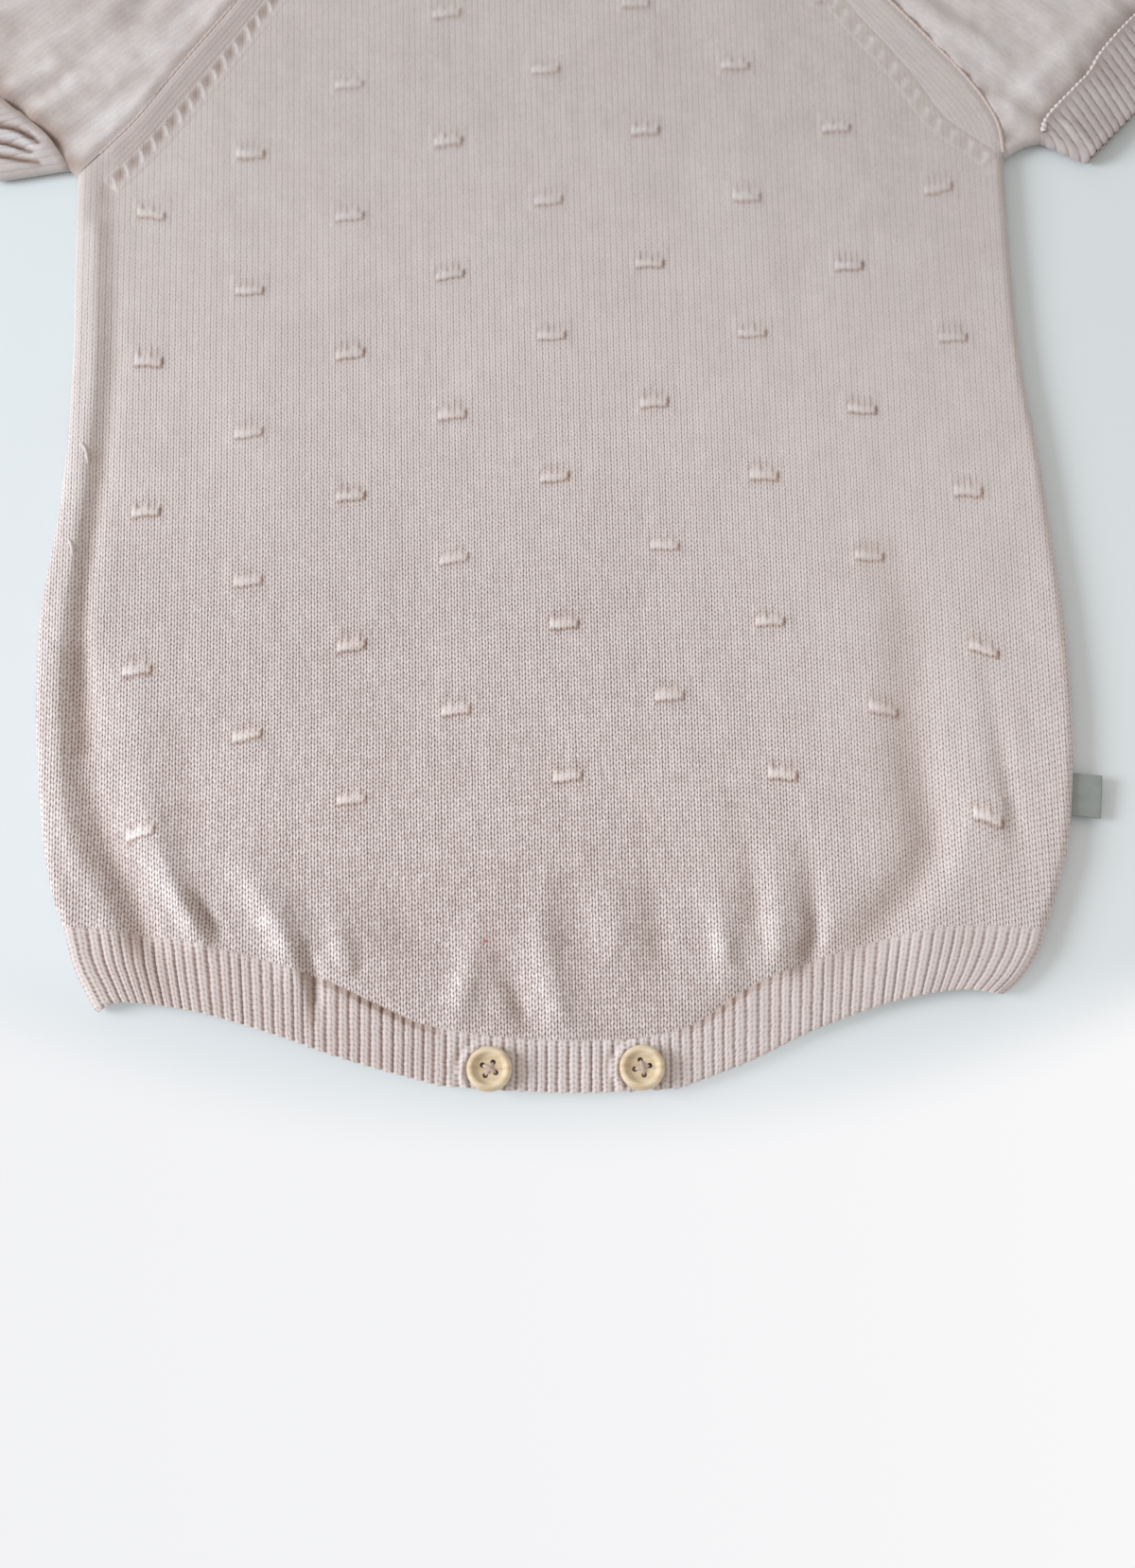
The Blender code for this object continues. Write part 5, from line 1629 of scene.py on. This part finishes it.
BUTTON_SECTION = ((0, 0), (5.3, 0), (5.75, 0.1), (6.08, 0.38), (6.22, 0.8), (6.25, 1.4), (6.22, 2.0),
                  (6.1, 2.4), (5.85, 2.72), (5.5, 2.92), (5.1, 2.98), (4.75, 2.92), (4.5, 2.74),
                  (4.28, 2.4), (4.1, 2.05), (3.85, 1.86), (3.5, 1.8), (0, 1.8))
BUTTON_SEGMENTS = 96
HOLE_RADIUS = 0.76
HOLE_OFFSET = 2.12
HOLE_TURNS = {"button_left": 60.0, "button_right": 14.0}
HOLE_SEGMENTS = 24
HOLE_SPAN = (-1.0, 4.0)
SHARP_ANGLE = math.radians(40)

# Thread: turn from the first hole, and how far it stands up in the middle
THREADS = ((0, 0.25), (90, 0.55))
THREAD_SPACING = (-0.3, 0.05, 0.34)
THREAD_RADIUS = 0.17
THREAD_END = 0.4
DISH_HEIGHT = 1.8


def circle(count):
    """Points round a circle of radius one."""
    angles = np.linspace(0, 2 * math.pi, count, endpoint=False)
    return np.column_stack([np.cos(angles), np.sin(angles)])


def button(node):
    """Turned wooden button with a rounded rim, a dish and four drilled holes."""
    low_corner, high_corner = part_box(node)
    middle, base = (low_corner + high_corner) / 2 / MM, low_corner.z / MM
    rims = BUTTON_SECTION[1:-1]
    count = BUTTON_SEGMENTS
    points = [(x * radius, y * radius, z) for radius, z in rims for x, y in circle(count)]
    points += [(0, 0, BUTTON_SECTION[0][1]), (0, 0, BUTTON_SECTION[-1][1])]
    top = (len(rims) - 1) * count
    faces = []
    for k in range(count):
        after = (k + 1) % count
        faces.append((len(points) - 2, after, k))
        faces += [(low + k, low + after, low + count + after, low + count + k)
                  for low in range(0, top, count)]
        faces.append((top + k, top + after, len(points) - 1))
    made = solid(f"{node}_turned", points, faces, wood)
    made.data.shade_smooth()
    made.location = Vector((middle.x, middle.y, base)) * MM
    holes, faces = [], []
    count = HOLE_SEGMENTS
    for index in range(4):
        turn = math.radians(HOLE_TURNS[node] + 90 * index)
        start = len(holes)
        spot = circle(count) * HOLE_RADIUS + np.array((math.cos(turn), math.sin(turn))) * HOLE_OFFSET
        holes += [(x, y, z) for z in HOLE_SPAN for x, y in spot]
        low, high = range(start, start + count), range(start + count, start + 2 * count)
        faces += [tuple(reversed(low)), tuple(high)]
        for k in range(count):
            after = (k + 1) % count
            faces.append((low[k], low[after], high[after], high[k]))
    cutter = solid(f"{node}_drill", holes, faces)
    cutter.location = made.location
    bpy.context.view_layer.update()
    made.modifiers.new("holes", "BOOLEAN").object = cutter
    depsgraph = bpy.context.evaluated_depsgraph_get()
    drilled = bpy.data.meshes.new_from_object(made.evaluated_get(depsgraph))
    made.modifiers.clear()
    made.data = drilled
    drilled.set_sharp_from_angle(angle=SHARP_ANGLE)
    bpy.data.objects.remove(cutter)
    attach(made, "root")
    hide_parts(node)
    thread(node, middle, base)


def thread(node, middle, base):
    """Sewing yarn that crosses between the button's holes."""
    grids = []
    t = np.linspace(-1, 1, 21)
    for extra, lift in THREADS:
        turn = math.radians(HOLE_TURNS[node] + extra)
        direction = np.array((math.cos(turn), math.sin(turn)))
        normal = np.array((-direction[1], direction[0]))
        for aside in THREAD_SPACING:
            plan = np.outer(t, direction) * HOLE_OFFSET + np.outer(1 - 0.5 * t ** 2, normal) * aside
            rise = DISH_HEIGHT + 0.12 + lift * (1 - t ** 2) - 1.5 * np.abs(t) ** 9
            path = np.column_stack([plan + (middle.x, middle.y), base + rise - 0.12 * abs(aside)])
            path[0, 2] = path[-1, 2] = base + THREAD_END
            grids.append(strand(path, THREAD_RADIUS))
    cloth(f"{node}_thread", grids, sewing_yarn)


LABEL_SIZE = (12.6, 7.9)
LABEL_TILT = math.radians(-5.5)
LABEL_SEAM = 150.5
LABEL_RISE = 1.4
LABEL_ROOT = 1.5
LABEL_BEND = 0.5
LABEL_HALF = 0.36
LABEL_WALL = 0.3


def side_label():
    """Bare woven tape, folded at its outer end, standing out from the right seam."""
    low_corner, high_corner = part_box("side_label")
    middle = (low_corner + high_corner) / 2 / MM
    long, reach = LABEL_SIZE
    straight = reach - LABEL_BEND
    turn = np.linspace(-math.pi / 2, math.pi / 2, 9)[1:-1]
    out = np.linspace(-LABEL_ROOT, straight, 12)
    section = [(x, -LABEL_HALF) for x in out]
    section += [(straight + LABEL_BEND * math.cos(a), LABEL_HALF * math.sin(a)) for a in turn]
    section += [(x, LABEL_HALF) for x in out[::-1]]
    section = np.array(section)
    x, y = np.meshgrid(section[:, 0], np.linspace(-long / 2, long / 2, 24))
    z = np.broadcast_to(section[:, 1], x.shape) + middle.z + 0.25 * np.sin(y / 4.1 + 0.6) * (x / reach)
    z = z - 0.35 * (x / reach) ** 2
    c, s = math.cos(LABEL_TILT), math.sin(LABEL_TILT)
    points = np.dstack([LABEL_SEAM + x * c - y * s, middle.y + LABEL_RISE + x * s + y * c, z])
    grid = Grid(points, np.dstack([x, y]), flip=True)
    whole = 2 * (reach + LABEL_ROOT)
    cloth("side_label_tape", [grid], label_tape, LABEL_WALL, "side_label",
          (long, whole, long * whole))


for node in HOLE_TURNS:
    button(node)
side_label()


# ---------------------------------------------------------------- floor, light and camera

AIM = (5.5, -118.0, 4.0)
EYE = (5.5, -298.1, 600.4)
LENS = 50.0
FLOOR_HALF = 3000.0
FLOOR_DROP = 0.2
# Window light: place in metres, size, power and colour
WINDOW = ((-1.90, -0.16, 0.95), 1.0, 42.0, (0.935, 0.985, 1.05))
WORLD_COLOUR = (1.02, 0.97, 0.93, 1.0)
WORLD_STRENGTH = 0.66


def floor():
    half, z = FLOOR_HALF, -FLOOR_DROP
    corners = [(-half, -half, z), (half, -half, z), (half, half, z), (-half, half, z)]
    solid("floor", corners, [(0, 1, 2, 3)], floor_material("floor_matt"))


def area_light(name, place, size, power, colour):
    data = bpy.data.lights.new(name, "AREA")
    data.shape = "DISK"
    data.size = size
    data.energy = power
    data.color = colour
    made = bpy.data.objects.new(name, data)
    made.location = place
    made.rotation_euler = (-Vector(place)).to_track_quat("-Z", "Y").to_euler()
    bpy.context.scene.collection.objects.link(made)


def camera():
    data = bpy.data.cameras.new("camera")
    data.lens = LENS
    data.sensor_width = 36.0
    data.clip_end = 20.0
    made = bpy.data.objects.new("camera", data)
    made.location = Vector(EYE) * MM
    made.rotation_euler = (Vector(AIM) - Vector(EYE)).to_track_quat("-Z", "Y").to_euler()
    bpy.context.scene.collection.objects.link(made)
    bpy.context.scene.camera = made


def world():
    made = bpy.data.worlds.new("studio")
    bpy.context.scene.world = made
    made.use_nodes = True
    background = made.node_tree.nodes["Background"]
    background.inputs["Color"].default_value = WORLD_COLOUR
    background.inputs["Strength"].default_value = WORLD_STRENGTH


floor()
camera()
world()
area_light("window", *WINDOW)
bpy.context.scene.view_settings.view_transform = "Standard"
